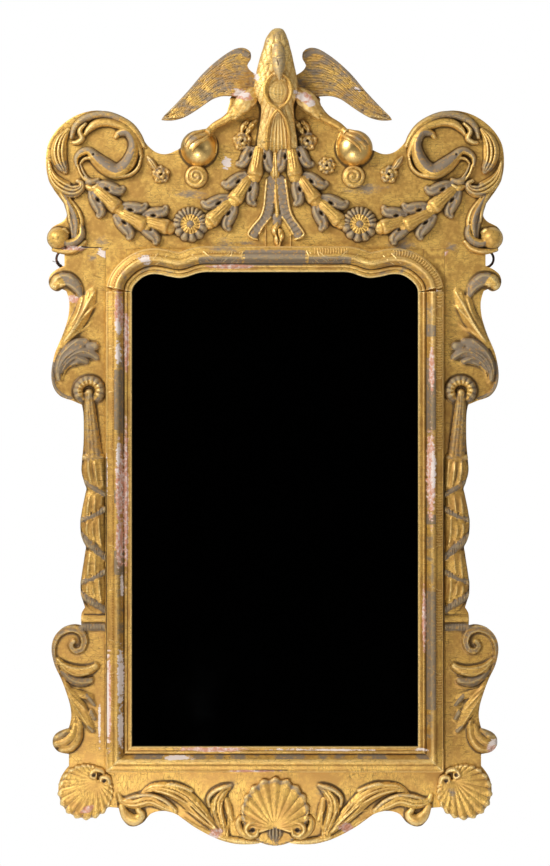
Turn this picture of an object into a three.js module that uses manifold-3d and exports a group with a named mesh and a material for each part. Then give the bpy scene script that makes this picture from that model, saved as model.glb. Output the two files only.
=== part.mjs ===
// A wall mirror in carved, gessoed and gilt pine, of about the middle of the eighteenth century:
// an upright plate in a nicked moulding, drapery and acanthus at the sides, shells at the foot,
// and on the crest an eagle on two balls between eared scrolls, over a festoon of husks.
//
// The frame: millimetres, x to the right, y into the wall, z up. The origin is the middle of the
// plate's opening, on the wall, so everything lies at negative y and the front is the lowest y.

import * as THREE from "three";
import { mergeVertices } from "three/addons/utils/BufferGeometryUtils.js";
import Module from "manifold-3d";

const wasm = await Module();
wasm.setup();

// ---------------------------------------------------------------- driving dimensions

const sightHalfWidth = 257.5; // plate that shows, middle to side
const sightTop = 425.7; // and above the origin, at the middle
const sightFoot = -428; // and below it
const mouldingWidth = 46;
const mouldingRise = 22; // highest member above the boards
const boardThickness = 22;
const backboardThickness = 9.7;
const backboardGap = 1.5; // between neighbouring backboards
const plateThickness = 3.5;
const plateCover = 8; // plate hidden behind the moulding on each edge
const plateClearance = 2; // plate to carcass, all round
const stripWidth = 11; // beads that wedge the plate in from behind
const stripDepth = 10;
const carcassMargin = 1.5; // carcass that shows beside the side mouldings
const jointCover = 4.7; // how far the cross mouldings lap over the board joints
const backboardLap = 12; // bearing of the backboards on the carcass's rails
const backboardSideLap = 22; // and on its stiles
const easedEdge = 2; // planed off the rear edges of backboards and battens
const battenWidth = 42;
const battenAt = 118; // battens' distance from the middle
const seat = 0.3; // clearance where two pieces touch

const ringRadius = 15.5; // hanging ring, centre of its wire
const ringWire = 2.2; // half its wire
const ringPlay = 0.9; // round the wire, in the strap's eye
const strapThickness = 1.4; // sheet iron of the strap that holds the ring
const strapEyeLength = 7;
const strapWidth = 11;
const strapReach = 26; // from the eye's axis to the strap's end
const hingeAt = 364.5; // eye's axis, from the middle
const hingeHeight = 451;
const screwShank = 1.5;
const screwHead = 3;
const screwLength = 13;
const bindingWire = 0.6; // half the thin wire bound round the left ring
const bindingTurns = 5;
const bindingPitch = 2.6;

const eagleX = 3; // the bird stands a little to the right of the middle
const eagleTop = 860.5;
const wingThickness = 11;
const ballRadius = 33;
const ballRise = 30;
const shellRadius = 52;
const shellRibs = 18;
const sunflowerRadius = 32;
const sunflowerPetals = 12;

// ---------------------------------------------------------------- planes and the drawn pattern

const backPlane = -(backboardThickness + seat); // backs of carcass and boards
const frontPlane = backPlane - boardThickness; // their fronts
const carvingPlane = frontPlane - seat; // where applied carving begins

// Joints of the carcass with the ornamental boards round it.
const side = sightHalfWidth + mouldingWidth + carcassMargin;
const top = sightTop + mouldingWidth - jointCover;
const foot = sightFoot - mouldingWidth + jointCover + seat;

// The ornament below is drawn for these joints, and follows them when a size changes:
// what is near the middle stays there, what is by the sides and ends moves with them.
const drawn = { side: 305, top: 467, foot: -469, still: 40, moved: 300 };

function placed([x, z, ...rest]) {
  const share = THREE.MathUtils.smoothstep(Math.abs(x), drawn.still, drawn.moved);
  const across = x + Math.sign(x) * share * (side - drawn.side);
  let up = foot + ((z - drawn.foot) * (top - foot)) / (drawn.top - drawn.foot);
  if (z > drawn.top) up = z + top - drawn.top;
  if (z < drawn.foot) up = z + foot - drawn.foot;
  return [across, up, ...rest];
}

// ---------------------------------------------------------------- curves

function between(a, b, c, d, t) {
  return b.map((value, k) => {
    const slope = c[k] - a[k];
    const bend = 2 * a[k] - 5 * value + 4 * c[k] - d[k];
    const twist = 3 * value - a[k] - 3 * c[k] + d[k];
    return value + 0.5 * (slope * t + bend * t * t + twist * t * t * t);
  });
}

// A smooth run through all the points, each of any number of values.
function smooth(points, perSpan) {
  const last = points.length - 1;
  const at = (i) => points[Math.min(Math.max(i, 0), last)];
  const run = [];
  for (let i = 0; i < last; i++) {
    for (let s = 0; s < perSpan; s++) {
      run.push(between(at(i - 1), at(i), at(i + 1), at(i + 2), s / perSpan));
    }
  }
  run.push(points[last]);
  return run;
}

const corner = true;

// An outline through hand-chosen points: sharp at those marked corner, smooth at the others.
function trace(points, perSpan = 2) {
  const outline = [];
  let run = [];
  for (const point of points) {
    run.push(point.slice(0, 2));
    if (point[2] === corner && run.length > 1) {
      const steps = run.length > 2 ? perSpan : 1;
      outline.push(...smooth(run, steps).slice(0, -1));
      run = [point.slice(0, 2)];
    }
  }
  outline.push(...smooth(run, run.length > 2 ? perSpan : 1));
  return outline;
}

// A right half, from the middle line round to the middle line, with its left half added.
function bothHalves(half) {
  const left = half
    .slice(1, -1)
    .map(([x, z]) => [-x, z])
    .reverse();
  return [...half, ...left];
}

// ---------------------------------------------------------------- solids

function facesOut(positions, index) {
  let volume = 0;
  const point = (i) => new THREE.Vector3().fromArray(positions, 3 * i);
  for (let i = 0; i < index.length; i += 3) {
    const [a, b, c] = [point(index[i]), point(index[i + 1]), point(index[i + 2])];
    volume += a.dot(b.cross(c));
  }
  if (volume < 0) index.reverse();
  const geometry = new THREE.BufferGeometry();
  geometry.setAttribute("position", new THREE.Float32BufferAttribute(positions, 3));
  geometry.setIndex(index);
  return geometry;
}

// A closed skin over equal rings of points: capped at its ends, or joined end to end.
function skin(rings, endless = false) {
  const count = rings[0].length;
  const index = [];
  const spans = endless ? rings.length : rings.length - 1;
  for (let r = 0; r < spans; r++) {
    const here = r * count;
    const next = ((r + 1) % rings.length) * count;
    for (let k = 0; k < count; k++) {
      const beside = (k + 1) % count;
      index.push(here + k, next + k, next + beside);
      index.push(here + k, next + beside, here + beside);
    }
  }
  if (!endless) {
    const far = (rings.length - 1) * count;
    for (let k = 1; k < count - 1; k++) {
      index.push(0, k, k + 1);
      index.push(far, far + k + 1, far + k);
    }
  }
  return facesOut(rings.flat(2), index);
}

function solid(geometry) {
  const loose = geometry.index ? geometry.toNonIndexed() : geometry;
  const bare = new THREE.BufferGeometry();
  bare.setAttribute("position", loose.getAttribute("position"));
  const merged = mergeVertices(bare, 1e-4);
  const mesh = new wasm.Mesh({
    numProp: 3,
    vertProperties: merged.attributes.position.array,
    triVerts: new Uint32Array(merged.index.array),
  });
  return new wasm.Manifold(mesh);
}

function geometryOf(body) {
  const mesh = body.getMesh();
  const geometry = new THREE.BufferGeometry();
  const positions = new THREE.Float32BufferAttribute(Array.from(mesh.vertProperties), 3);
  geometry.setAttribute("position", positions);
  geometry.setIndex(Array.from(mesh.triVerts));
  return geometry;
}

function join(...geometries) {
  return geometryOf(geometries.map(solid).reduce((sum, next) => sum.add(next)));
}

function cut(geometry, ...tools) {
  const left = tools.map(solid).reduce((rest, tool) => rest.subtract(tool), solid(geometry));
  return geometryOf(left);
}

// A board with the outline [x, z], from its back to its front.
function plank(outline, back, front) {
  const shape = new THREE.Shape(outline.map(([x, z]) => new THREE.Vector2(x, z)));
  const settings = { depth: back - front, bevelEnabled: false };
  const geometry = new THREE.ExtrudeGeometry(shape, settings);
  geometry.rotateX(Math.PI / 2);
  geometry.translate(0, back, 0);
  return geometry;
}

function block([x0, x1], [y0, y1], [z0, z1]) {
  const geometry = new THREE.BoxGeometry(x1 - x0, y1 - y0, z1 - z0);
  geometry.translate((x0 + x1) / 2, (y0 + y1) / 2, (z0 + z1) / 2);
  return geometry;
}

// A carved stroke lying on the boards: points [x, z, half width, rise], half round in section.
// It starts at the depth given, inside the board that carries it or on the board's face.
function stroke(points, { from = frontPlane + 1, perSpan = 1, sides = 4, grow = 0 } = {}) {
  const run = smooth(points, perSpan);
  const rings = run.map(([x, z, halfWidth, rise], i) => {
    const [ax, az] = run[Math.max(i - 1, 0)];
    const [bx, bz] = run[Math.min(i + 1, run.length - 1)];
    const length = Math.hypot(bx - ax, bz - az);
    const across = [-(bz - az) / length, (bx - ax) / length];
    const ring = [];
    for (let k = 0; k <= sides; k++) {
      const turn = (Math.PI * k) / sides;
      const offset = Math.cos(turn) * (halfWidth + grow);
      const edge = k === 0 || k === sides;
      const y = edge ? from : frontPlane - grow - rise * Math.sin(turn) ** 0.75;
      ring.push([x + across[0] * offset, y, z + across[1] * offset]);
    }
    return ring;
  });
  return skin(rings);
}

// A round member through points [x, y, z, radius], never reaching behind the depth given.
function limb(points, { sides = 8, perSpan = 2, grow = 0, behind = carvingPlane } = {}) {
  const run = smooth(points, perSpan);
  const rings = run.map(([x, y, z, radius], i) => {
    const before = new THREE.Vector3(...run[Math.max(i - 1, 0)].slice(0, 3));
    const after = new THREE.Vector3(...run[Math.min(i + 1, run.length - 1)].slice(0, 3));
    const along = after.sub(before).normalize();
    const out = new THREE.Vector3(0, -1, 0).addScaledVector(along, along.y).normalize();
    const across = new THREE.Vector3().crossVectors(along, out);
    const ring = [];
    for (let k = 0; k < sides; k++) {
      const turn = (2 * Math.PI * k) / sides;
      const point = new THREE.Vector3(x, y, z);
      point.addScaledVector(across, (radius + grow) * Math.cos(turn));
      point.addScaledVector(out, (radius + grow) * Math.sin(turn));
      ring.push([point.x, Math.min(point.y, behind), point.z]);
    }
    return ring;
  });
  return skin(rings);
}

// A low carved boss, such as a flower or a shell: rings of points round a centre, each ring
// given by a share of the way to the rim, closed by a flat back on the board's face.
function boss({ centre, rim, shares, rise, steps }) {
  const positions = [centre[0], frontPlane - rise(0, 0), centre[1]];
  const back = [];
  for (const share of shares) {
    for (let k = 0; k < steps; k++) {
      const turn = (2 * Math.PI * k) / steps;
      const [x, z] = rim(turn);
      const point = [centre[0] + (x - centre[0]) * share, centre[1] + (z - centre[1]) * share];
      positions.push(point[0], frontPlane - rise(share, turn), point[1]);
      if (share === 1) back.push(point[0], carvingPlane, point[1]);
    }
  }
  positions.push(...back, centre[0], carvingPlane, centre[1]);
  const index = [];
  const rings = shares.length + 1;
  const hub = 1 + rings * steps;
  for (let k = 0; k < steps; k++) {
    const beside = (k + 1) % steps;
    index.push(0, 1 + beside, 1 + k);
    for (let r = 0; r < rings - 1; r++) {
      const here = 1 + r * steps;
      const next = here + steps;
      index.push(here + k, here + beside, next + k);
      index.push(here + beside, next + beside, next + k);
    }
    const edge = 1 + (rings - 1) * steps;
    index.push(edge + k, edge + beside, hub);
  }
  return facesOut(positions, index);
}

// ---------------------------------------------------------------- carcass and boards

const plateHalfWidth = sightHalfWidth + plateCover;
const plateTop = sightTop + plateCover;
const plateFoot = sightFoot - plateCover;
const rebate = {
  halfWidth: plateHalfWidth + plateClearance,
  top: plateTop + plateClearance,
  foot: plateFoot - plateClearance,
};
const lapPlane = (backPlane + frontPlane) / 2; // where the halved joints of the carcass meet

// An upright: full depth between the rails, and only its front half where it laps them.
function carcassStile() {
  const full = block([rebate.halfWidth, side], [frontPlane, backPlane],
    [rebate.foot + seat, rebate.top - seat]);
  const lapped = block([rebate.halfWidth, side], [frontPlane, lapPlane - seat / 2], [foot, top]);
  return join(full, lapped);
}

// A rail: full depth between the uprights, and only its back half behind them.
function carcassRail(low, high) {
  const inner = rebate.halfWidth - seat;
  const full = block([-inner, inner], [frontPlane, backPlane], [low, high]);
  const lapped = block([-side, side], [lapPlane + seat / 2, backPlane], [low, high]);
  return join(full, lapped);
}

// The line where the crest sits on the carcass and the side boards, lower under the scroll.
const crestJoint = [
  [345, 467, corner],
  [353, 460.5, corner],
  [367, 458.5, corner],
];

function crestOutline() {
  const raised = crestJoint.map(([x, z, mark]) => [x, z + seat, mark]);
  const half = [
    [0, drawn.top + seat, corner],
    ...raised,
    [384, 460],
    [398, 466],
    [408, 478],
    [409, 493],
    [400, 507],
    [385, 515],
    [376, 524],
    [375, 536],
    [381, 550],
    [397, 572],
    [408, 594],
    [412.3, 620],
    [410, 650],
    [400, 672],
    [382, 692],
    [355, 709],
    [322, 716.5],
    [288, 711],
    [262, 697],
    [245, 678],
    [232, 657],
    [217, 643],
    [202, 638],
    [188, 640],
    [172, 648, corner],
    [150, 668, corner],
    [124, 680.5],
    [104, 692],
    [91, 704],
    [84, 722],
    [79, 741, corner],
    [52, 768, corner],
    [24, 790],
    [18, 804, corner],
    [0, 806, corner],
  ];
  return bothHalves(trace(half.map(placed)));
}

// A side board: straight by the moulding, and in outline a spur, an acanthus, a fall of
// drapery pinched three times, a block, a scroll, a second spur and the seat of the shell.
function sideOutline() {
  const inner = side + seat;
  const drawing = [
    ...crestJoint,
    [379, 458.5, corner],
    [379, 437, corner],
    [392, 431],
    [404, 421],
    [407.5, 407],
    [402, 395],
    [392, 392],
    [385, 396, corner],
    [376, 392, corner],
    [370.5, 372],
    [372.5, 344],
    [383, 311],
    [396, 280],
    [402.5, 245],
    [399, 219],
    [386, 202],
    [366, 194.5],
    [348, 187, corner],
    [344.7, 168],
    [344.7, 118],
    [348.5, 72],
    [345, 53],
    [339.5, 36, corner],
    [344, 14],
    [350, -20],
    [349, -46],
    [340.5, -69, corner],
    [344, -94],
    [350, -136],
    [348, -158],
    [342, -178, corner],
    [348.5, -190],
    [348.5, -212, corner],
    [362, -209.5],
    [382, -215],
    [397, -231],
    [402, -254],
    [396, -283],
    [382, -313],
    [370, -348],
    [367, -376],
    [372, -397, corner],
    [386, -401.5],
    [398, -410],
    [399.5, -425],
    [390, -437.5],
    [371, -442, corner],
    [371, -464, corner],
    [384, -481],
    [390, -507],
    [381, -537],
    [357, -555],
    [327, -555],
    [306, -541, corner],
  ];
  const outer = trace(drawing.map(placed));
  const last = outer.pop();
  return [[inner, top], ...outer, [inner, last[1]]];
}

function apronOutline() {
  const half = [
    [0, -607, corner],
    [12, -604],
    [19, -598, corner],
    [33, -603],
    [70, -603.5],
    [108, -593],
    [148, -571.5],
    [180, -549],
    [204, -544.5],
    [224, -550],
    [236, -564],
    [251, -572],
    [265, -570],
    [276, -556],
    [281, -539, corner],
    [305, -537, corner],
  ];
  const outer = trace(half.map(placed));
  outer[outer.length - 1] = [side, outer.at(-1)[1]];
  outer.push([side, foot - seat], [0, foot - seat]);
  return bothHalves(outer);
}

// ---------------------------------------------------------------- relief on the side boards

function spiral([cx, cz], { start, turns, inner, outer, halfWidth, rise, steps }) {
  const points = [];
  for (let i = 0; i <= steps; i++) {
    const share = i / steps;
    const turn = start + 2 * Math.PI * turns * share;
    const radius = inner + (outer - inner) * share;
    const end = Math.min(1, 0.55 + share);
    const point = [cx + radius * Math.cos(turn), cz + radius * Math.sin(turn)];
    points.push([...point, halfWidth * end, rise]);
  }
  return points;
}

const sideRelief = [
  // upper spur, a rolled leaf
  [[352, 418, 8, 8], [372, 420, 11, 12], [390, 413, 12, 12], [396, 401, 7, 8]],
  // acanthus, three ribs falling to the bulge
  [[332, 397, 4, 4], [344, 363, 8, 8], [363, 329, 9, 9], [384, 293, 8, 9], [394, 262, 7, 8], [394, 236, 4, 4]],
  [[346, 391, 4, 4], [356, 362, 7, 7], [367, 340, 4, 5]],
  [[321, 366, 3, 3], [334, 342, 6, 6], [354, 316, 7, 7], [374, 294, 5, 6]],
  // the leaf that turns back over it
  [[386, 242, 4, 5], [381, 266, 7, 9], [365, 287, 9, 11], [345, 298, 9, 10], [330, 297, 5, 5]],
  [[376, 250, 4, 5], [366, 268, 6, 8], [348, 280, 7, 9], [326, 277, 5, 6]],
  // drapery: the fall from its ring, then three pinched swags
  [[334, 202, 9, 12], [334, 165, 9.5, 10], [333, 125, 10, 10], [331, 94, 13, 11]],
  [[329, 92, 14, 9], [328, 66, 18, 14], [325, 40, 13, 7]],
  [[325, 34, 12, 7], [328, 2, 18, 14], [329, -34, 19, 14], [324, -66, 13, 7]],
  [[324, -73, 12, 7], [328, -108, 18, 14], [329, -142, 19, 14], [325, -174, 13, 7]],
  // block under the drapery
  [[327, -181, 17, 8], [327, -194, 20, 9], [327, -209, 20, 7]],
  // lower leaf curling in from the scroll, and the ribs below it
  [[393, -262, 4, 5], [380, -281, 7, 8], [358, -291, 9, 10], [334, -288, 8, 8], [320, -285, 4, 4]],
  [[388, -284, 4, 4], [373, -302, 6, 7], [351, -310, 6, 7], [332, -307, 4, 4]],
  [[382, -300, 3, 3], [367, -326, 6, 6], [350, -357, 5, 5], [334, -392, 3, 3]],
  // lower spur
  [[360, -388, 5, 5], [370, -408, 8, 9], [385, -419, 11, 10], [391, -425, 6, 6]],
];

function sideBoard() {
  const board = plank(sideOutline(), backPlane, frontPlane);
  const carved = sideRelief.map((points) => stroke(points.map(placed)));
  const eye = spiral(placed([356, -238]), {
    start: Math.PI * 0.6, turns: -1.25, inner: 5, outer: 30, halfWidth: 7, rise: 11, steps: 9,
  });
  const hoop = spiral(placed([334, 215]), {
    start: -Math.PI * 0.5, turns: 0.97, inner: 19, outer: 19, halfWidth: 8.5, rise: 13, steps: 14,
  });
  const whole = join(board, ...carved, stroke(eye), stroke(hoop));
  return cut(whole, ...screwPlaces().map(pilotHole));
}

const apronRelief = [
  // leaf scroll at the end
  [[279, -512, 4, 5], [278, -528, 9, 9], [264, -546, 12, 12], [253, -560, 8, 8]],
  [[266, -532, 5, 6], [240, -526, 8, 10], [208, -530, 8, 9], [182, -541, 5, 5]],
  // acanthus springing from the shell
  [[70, -590, 5, 5], [98, -574, 9, 8], [126, -550, 10, 9], [150, -526, 8, 7], [160, -508, 4, 4]],
  [[92, -592, 4, 4], [126, -577, 6, 7], [158, -557, 5, 6], [186, -534, 3, 3]],
  [[80, -574, 4, 4], [90, -546, 7, 9], [98, -522, 7, 8], [90, -503, 4, 4]],
];

function apronBoard() {
  const board = plank(apronOutline(), backPlane, frontPlane);
  const right = apronRelief.map((points) => stroke(points.map(placed)));
  const left = apronRelief.map((points) => {
    return stroke(points.map(placed).map(([x, z, ...rest]) => [-x, z, ...rest]));
  });
  return join(board, ...right, ...left);
}

// ---------------------------------------------------------------- mouldings

// Section: distance out from the plate, height above the boards.
const section = [
  [0, 0],
  [0, 0.22],
  [0.04, 0.38],
  [0.14, 0.42],
  [0.22, 0.32],
  [0.3, 0.3],
  [0.42, 0.4],
  [0.55, 0.66],
  [0.62, 0.84],
  [0.72, 1],
  [0.86, 0.98],
  [0.96, 0.72],
  [1, 0],
].map(([across, up]) => [across * mouldingWidth, up * mouldingRise]);

// The plate's edge along the top, right half, as its distances in from the side and down from
// the middle: straight, a dip before the corner, then the corner turning down to the joint.
const topEdge = [
  [131.5, 0],
  [117.5, 2.3],
  [101.5, 7.9],
  [86.5, 10.7],
  [67.5, 8.3],
  [49.5, 4.3],
  [34.5, 4.1],
  [20.5, 9.2],
  [9.5, 18],
  [2.5, 27],
  [0, 36],
].map(([inward, down]) => [sightHalfWidth - inward, sightTop - down]);
const mouldingJoint = topEdge.at(-1)[1]; // height where the side mouldings meet the top one

// The section swept along the edge, cut square where it meets the side mouldings.
function topMoulding() {
  const whole = [...topEdge.map(([x, z]) => [-x, z]).reverse(), ...topEdge];
  const rings = whole.map(([x, z], i) => {
    const [ax, az] = whole[Math.max(i - 1, 0)];
    const [bx, bz] = whole[Math.min(i + 1, whole.length - 1)];
    const length = Math.hypot(bx - ax, bz - az);
    const last = i === 0 || i === whole.length - 1;
    const out = last ? [Math.sign(x), 0] : [-(bz - az) / length, (bx - ax) / length];
    return section.map(([across, up]) => {
      return [x + out[0] * across, carvingPlane - up, z + out[1] * across];
    });
  });
  return skin(rings);
}

// Square at its top end, mitred at the foot.
function sideMoulding() {
  const end = (height) => section.map(([across, up]) => {
    return [sightHalfWidth + across, carvingPlane - up, height(across)];
  });
  return skin([end(() => mouldingJoint - seat), end((across) => sightFoot + seat - across)]);
}

function footMoulding() {
  const end = (sign) => section.map(([across, up]) => {
    return [sign * (sightHalfWidth + across - seat), carvingPlane - up, sightFoot - across];
  });
  return skin([end(-1), end(1)]);
}

// ---------------------------------------------------------------- plate and what holds it

const plateFront = frontPlane;
const plateBack = plateFront + plateThickness;

function mirrorPlate() {
  return block([-plateHalfWidth, plateHalfWidth], [plateFront, plateBack], [plateFoot, plateTop]);
}

// A bead wedged behind the plate, its free corner planed off. Section drawn from the carcass
// inwards and from the plate backwards.
function stripSection() {
  const chamfer = stripWidth / 3;
  return [
    [0, 0],
    [stripWidth, 0],
    [stripWidth, stripDepth - chamfer],
    [stripWidth - chamfer, stripDepth],
    [0, stripDepth],
  ];
}

function sideStrip() {
  const edge = rebate.halfWidth - seat;
  const ring = (z) => stripSection().map(([x, y]) => [edge - x, plateBack + seat + y, z]);
  return skin([ring(rebate.foot + seat), ring(rebate.top - seat)]);
}

function crossStrip(edge, inward) {
  const reach = rebate.halfWidth - 2 * seat - stripWidth;
  const ring = (x) => stripSection().map(([z, y]) => [x, plateBack + seat + y, edge + inward * z]);
  return skin([ring(-reach), ring(reach)]);
}

const backboardEdge = {
  halfWidth: rebate.halfWidth + backboardSideLap,
  top: rebate.top + backboardLap,
  foot: rebate.foot - backboardLap,
};

// One of the three boards that close the back, its rear edges eased.
function backboard(place) {
  const { halfWidth, top: high, foot: low } = backboardEdge;
  const height = (high - low) / 3;
  const z0 = low + place * height + backboardGap / 2;
  const z1 = z0 + height - backboardGap;
  const outline = easedSection(z0, z1);
  return skin([-halfWidth, halfWidth].map((x) => outline.map(([z, y]) => [x, y, z])));
}

// Section of a thin board lying on the wall, its two rear corners planed off.
function easedSection(from, to) {
  return [
    [from + easedEdge, 0],
    [from, -easedEdge],
    [from, -backboardThickness],
    [to, -backboardThickness],
    [to, -easedEdge],
    [to - easedEdge, 0],
  ];
}

function batten(low, high) {
  const outline = easedSection(battenAt - battenWidth / 2, battenAt + battenWidth / 2);
  return skin([low, high].map((z) => outline.map(([x, y]) => [x, y, z])));
}

// ---------------------------------------------------------------- hanging rings

const strapEyeBore = ringWire + ringPlay;
const eyeRadius = strapEyeBore + strapThickness;
const hingeX = hingeAt + side - drawn.side;
const hingeZ = placed([hingeAt, hingeHeight])[1];
const hingeY = backPlane + seat + eyeRadius;

function screwPlaces() {
  return [0.42, 0.8].map((share) => hingeX - share * strapReach);
}

function rod(x, z, radius, y0, y1, sides = 8) {
  const geometry = new THREE.CylinderGeometry(radius, radius, y1 - y0, sides);
  geometry.translate(x, (y0 + y1) / 2, z);
  return geometry;
}

function pilotHole(x) {
  return rod(x, hingeZ, screwShank + seat, backPlane - screwLength, backPlane + 1);
}

// Strap of sheet iron: flat on the board's back, with its end rolled into an eye for the ring.
function hangerStrap() {
  const face = hingeY - strapEyeBore;
  const outer = [];
  const inner = [];
  const steps = 10;
  for (let i = 0; i <= steps; i++) {
    const turn = -Math.PI / 2 + (i / steps) * Math.PI * 1.55;
    outer.push([hingeX + eyeRadius * Math.cos(turn), hingeY + eyeRadius * Math.sin(turn)]);
    inner.push([hingeX + strapEyeBore * Math.cos(turn), hingeY + strapEyeBore * Math.sin(turn)]);
  }
  const end = hingeX - strapReach;
  const profile = [[end, face - strapThickness], ...outer, ...inner.reverse(), [end, face]];
  const rolled = (half) => {
    const shape = new THREE.Shape(profile.map(([x, y]) => new THREE.Vector2(x, y)));
    const geometry = new THREE.ExtrudeGeometry(shape, { depth: 2 * half, bevelEnabled: false });
    geometry.translate(0, 0, hingeZ - half);
    return geometry;
  };
  const shoulder = hingeX - eyeRadius - 2;
  const leaf = block([end, shoulder], [face - strapThickness, face],
    [hingeZ - strapWidth / 2, hingeZ + strapWidth / 2]);
  const holes = screwPlaces().map((x) => {
    return rod(x, hingeZ, screwShank + seat, face - strapThickness - 1, face + 1);
  });
  return cut(join(rolled(strapEyeLength / 2), leaf), ...holes);
}

function hangerScrew(x) {
  const seatY = hingeY - strapEyeBore + seat;
  const headHeight = 1.4;
  const profile = [
    [0, -(screwLength - 2)],
    [screwShank * 0.3, -(screwLength - 2)],
    [screwShank, -(screwLength - 6)],
    [screwShank, 0],
    [screwHead, 0],
    [screwHead * 0.75, headHeight],
    [0, headHeight],
  ].map(([radius, along]) => new THREE.Vector2(radius, along));
  const geometry = new THREE.LatheGeometry(profile, 8);
  geometry.translate(x, seatY, hingeZ);
  return geometry;
}

function hangingRing() {
  const geometry = new THREE.TorusGeometry(ringRadius, ringWire, 8, 28);
  geometry.rotateX(Math.PI / 2);
  geometry.translate(hingeX + ringRadius, hingeY, hingeZ);
  return geometry;
}

// Thin wire bound round the left ring's outer side, its two cut ends standing out from the
// ring. Drawn for the right, as all the pairs are.
function ringBinding() {
  const stepsPerTurn = 8;
  const sides = 5;
  const away = ringWire + seat + bindingWire;
  const startTurn = -0.35 * Math.PI;
  const at = (along, reach, lift) => {
    const x = hingeX + ringRadius + reach * Math.cos(along);
    return new THREE.Vector3(x, hingeY + lift, hingeZ + reach * Math.sin(along));
  };
  const tail = (along, lift, lean) => [1, 2, 3].map((k) => {
    return at(along + lean * k * k, ringRadius + 2.4 * k, lift);
  });
  const path = tail(startTurn, away, -0.014).reverse();
  const total = stepsPerTurn * (bindingTurns - 0.5);
  for (let i = 0; i <= total; i++) {
    const along = startTurn + (bindingPitch / ringRadius) * (i / stepsPerTurn);
    const wind = Math.PI / 2 + (2 * Math.PI * i) / stepsPerTurn;
    path.push(at(along, ringRadius + away * Math.cos(wind), away * Math.sin(wind)));
  }
  const endTurn = startTurn + (bindingPitch / ringRadius) * (total / stepsPerTurn);
  path.push(...tail(endTurn, -away, 0.02));
  let least = Infinity;
  for (let i = 0; i < path.length; i++) {
    for (let j = i + 5; j < path.length; j++) {
      least = Math.min(least, path[i].distanceTo(path[j]) - 2 * bindingWire);
    }
  }
  console.log(`least gap of the binding wire to itself: ${least.toFixed(2)} mm`);
  const curve = new THREE.CatmullRomCurve3(path);
  const circle = new THREE.Shape().absarc(0, 0, bindingWire, 0, 2 * Math.PI);
  const points = circle.getSpacedPoints(sides).slice(0, sides);
  return new THREE.ExtrudeGeometry(new THREE.Shape(points), {
    extrudePath: curve,
    steps: path.length - 1,
  });
}

// ---------------------------------------------------------------- the eagle

// Body and head seen from the front, as levels: height, half width, front, back.
const eagleLevels = [
  [eagleTop, 3, -61, -52],
  [857, 9.5, -72, -44],
  [849, 15, -79, -38],
  [838, 18.5, -84, -34],
  [824, 22.5, -86, -33],
  [808, 28, -84, -33],
  [792, 33.5, -80, -33],
  [776, 37.5, -77, -33],
  [757, 39, -76, -33],
  [735, 36, -75, -33],
  [710, 31.5, -72, -33],
  [685, 28, -68, -33],
  [660, 25, -63, -33],
  [643, 21, -56, -33],
];

// The bill hangs from the brow, its point turned in to the breast.
const billLevels = [
  [828, 8, -88, -70],
  [816, 12, -95, -70],
  [801, 12.5, -99, -70],
  [787, 11, -100, -70],
  [776, 7.5, -99, -76],
  [768, 4, -95, -82],
  [764, 1.5, -90, -85],
];

function levels(list, sides, grow = 0) {
  const rings = list.map(([height, halfWidth, front, back]) => {
    const z = placed([0, height])[1];
    const middle = (front + back) / 2;
    const depth = (back - front) / 2 + grow;
    const ring = [];
    for (let k = 0; k < sides; k++) {
      const turn = (2 * Math.PI * k) / sides;
      const y = Math.min(middle + depth * Math.sin(turn), carvingPlane);
      ring.push([eagleX + (halfWidth + grow) * Math.cos(turn), y, z]);
    }
    return ring;
  });
  return skin(rings);
}

function eagleBody(grow = 0) {
  return join(levels(eagleLevels, 14, grow), levels(billLevels, 8, grow));
}

// The bird's paired pieces are drawn for its right, from its own middle line.
const wingOutline = [
  [34, 779, corner],
  [46, 786],
  [53, 797],
  [47, 808],
  [47, 820],
  [57, 827.5],
  [72, 827],
  [92, 816],
  [113, 800],
  [136, 778],
  [157, 753],
  [184, 724],
  [203, 705],
  [207, 699, corner],
  [190, 698],
  [166, 704],
  [138, 721],
  [116, 736],
  [96, 742],
  [76, 741, corner],
  [54, 738],
  [36, 748, corner],
];

// Long feathers, each lapping the next, and the rounded covert along the leading edge.
const wingFeathers = [
  [[50, 812, 5, 16], [62, 816, 9, 20], [86, 806, 9, 19], [112, 787, 8, 17], [142, 757, 6, 15], [172, 729, 4, 13]],
  [[52, 792, 5, 16], [80, 785, 9, 18], [112, 766, 8, 16], [146, 738, 7, 14], [184, 710, 4, 12]],
  [[48, 772, 5, 15], [78, 766, 8, 17], [112, 750, 7, 15], [144, 728, 5, 13]],
  [[46, 757, 5, 14], [74, 752, 6, 15], [98, 747, 4, 13]],
];

function wing() {
  const base = plank(trace(wingOutline.map(placed)), carvingPlane, carvingPlane - wingThickness);
  const inBase = carvingPlane - wingThickness / 4;
  const feathers = wingFeathers.map((points) => stroke(points.map(placed), { from: inBase }));
  const whole = join(base, ...feathers);
  whole.translate(eagleX, 0, 0);
  return cut(whole, eagleBody(seat), thigh(seat));
}

const ballCentre = placed([140, 648]);

function ball(grow = 0) {
  const profile = [new THREE.Vector2(0, 0)];
  const steps = 6;
  for (let i = 0; i <= steps; i++) {
    const turn = (Math.PI / 2) * (i / steps);
    const radius = (ballRadius + grow) * Math.cos(turn);
    profile.push(new THREE.Vector2(i === steps ? 0 : radius, -(ballRise + grow) * Math.sin(turn)));
  }
  const geometry = new THREE.LatheGeometry(profile, 20);
  geometry.translate(eagleX + ballCentre[0], carvingPlane, ballCentre[1]);
  return facesOut(Array.from(geometry.attributes.position.array), Array.from(geometry.index.array));
}

// A round member of the bird's right leg, through points [x, y, z, radius].
function legMember(points, options) {
  const geometry = limb(points.map(([x, y, z, radius]) => {
    const [px, pz] = placed([x, z]);
    return [px, y, pz, radius];
  }), { perSpan: 1, ...options });
  geometry.translate(eagleX, 0, 0);
  return geometry;
}

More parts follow.
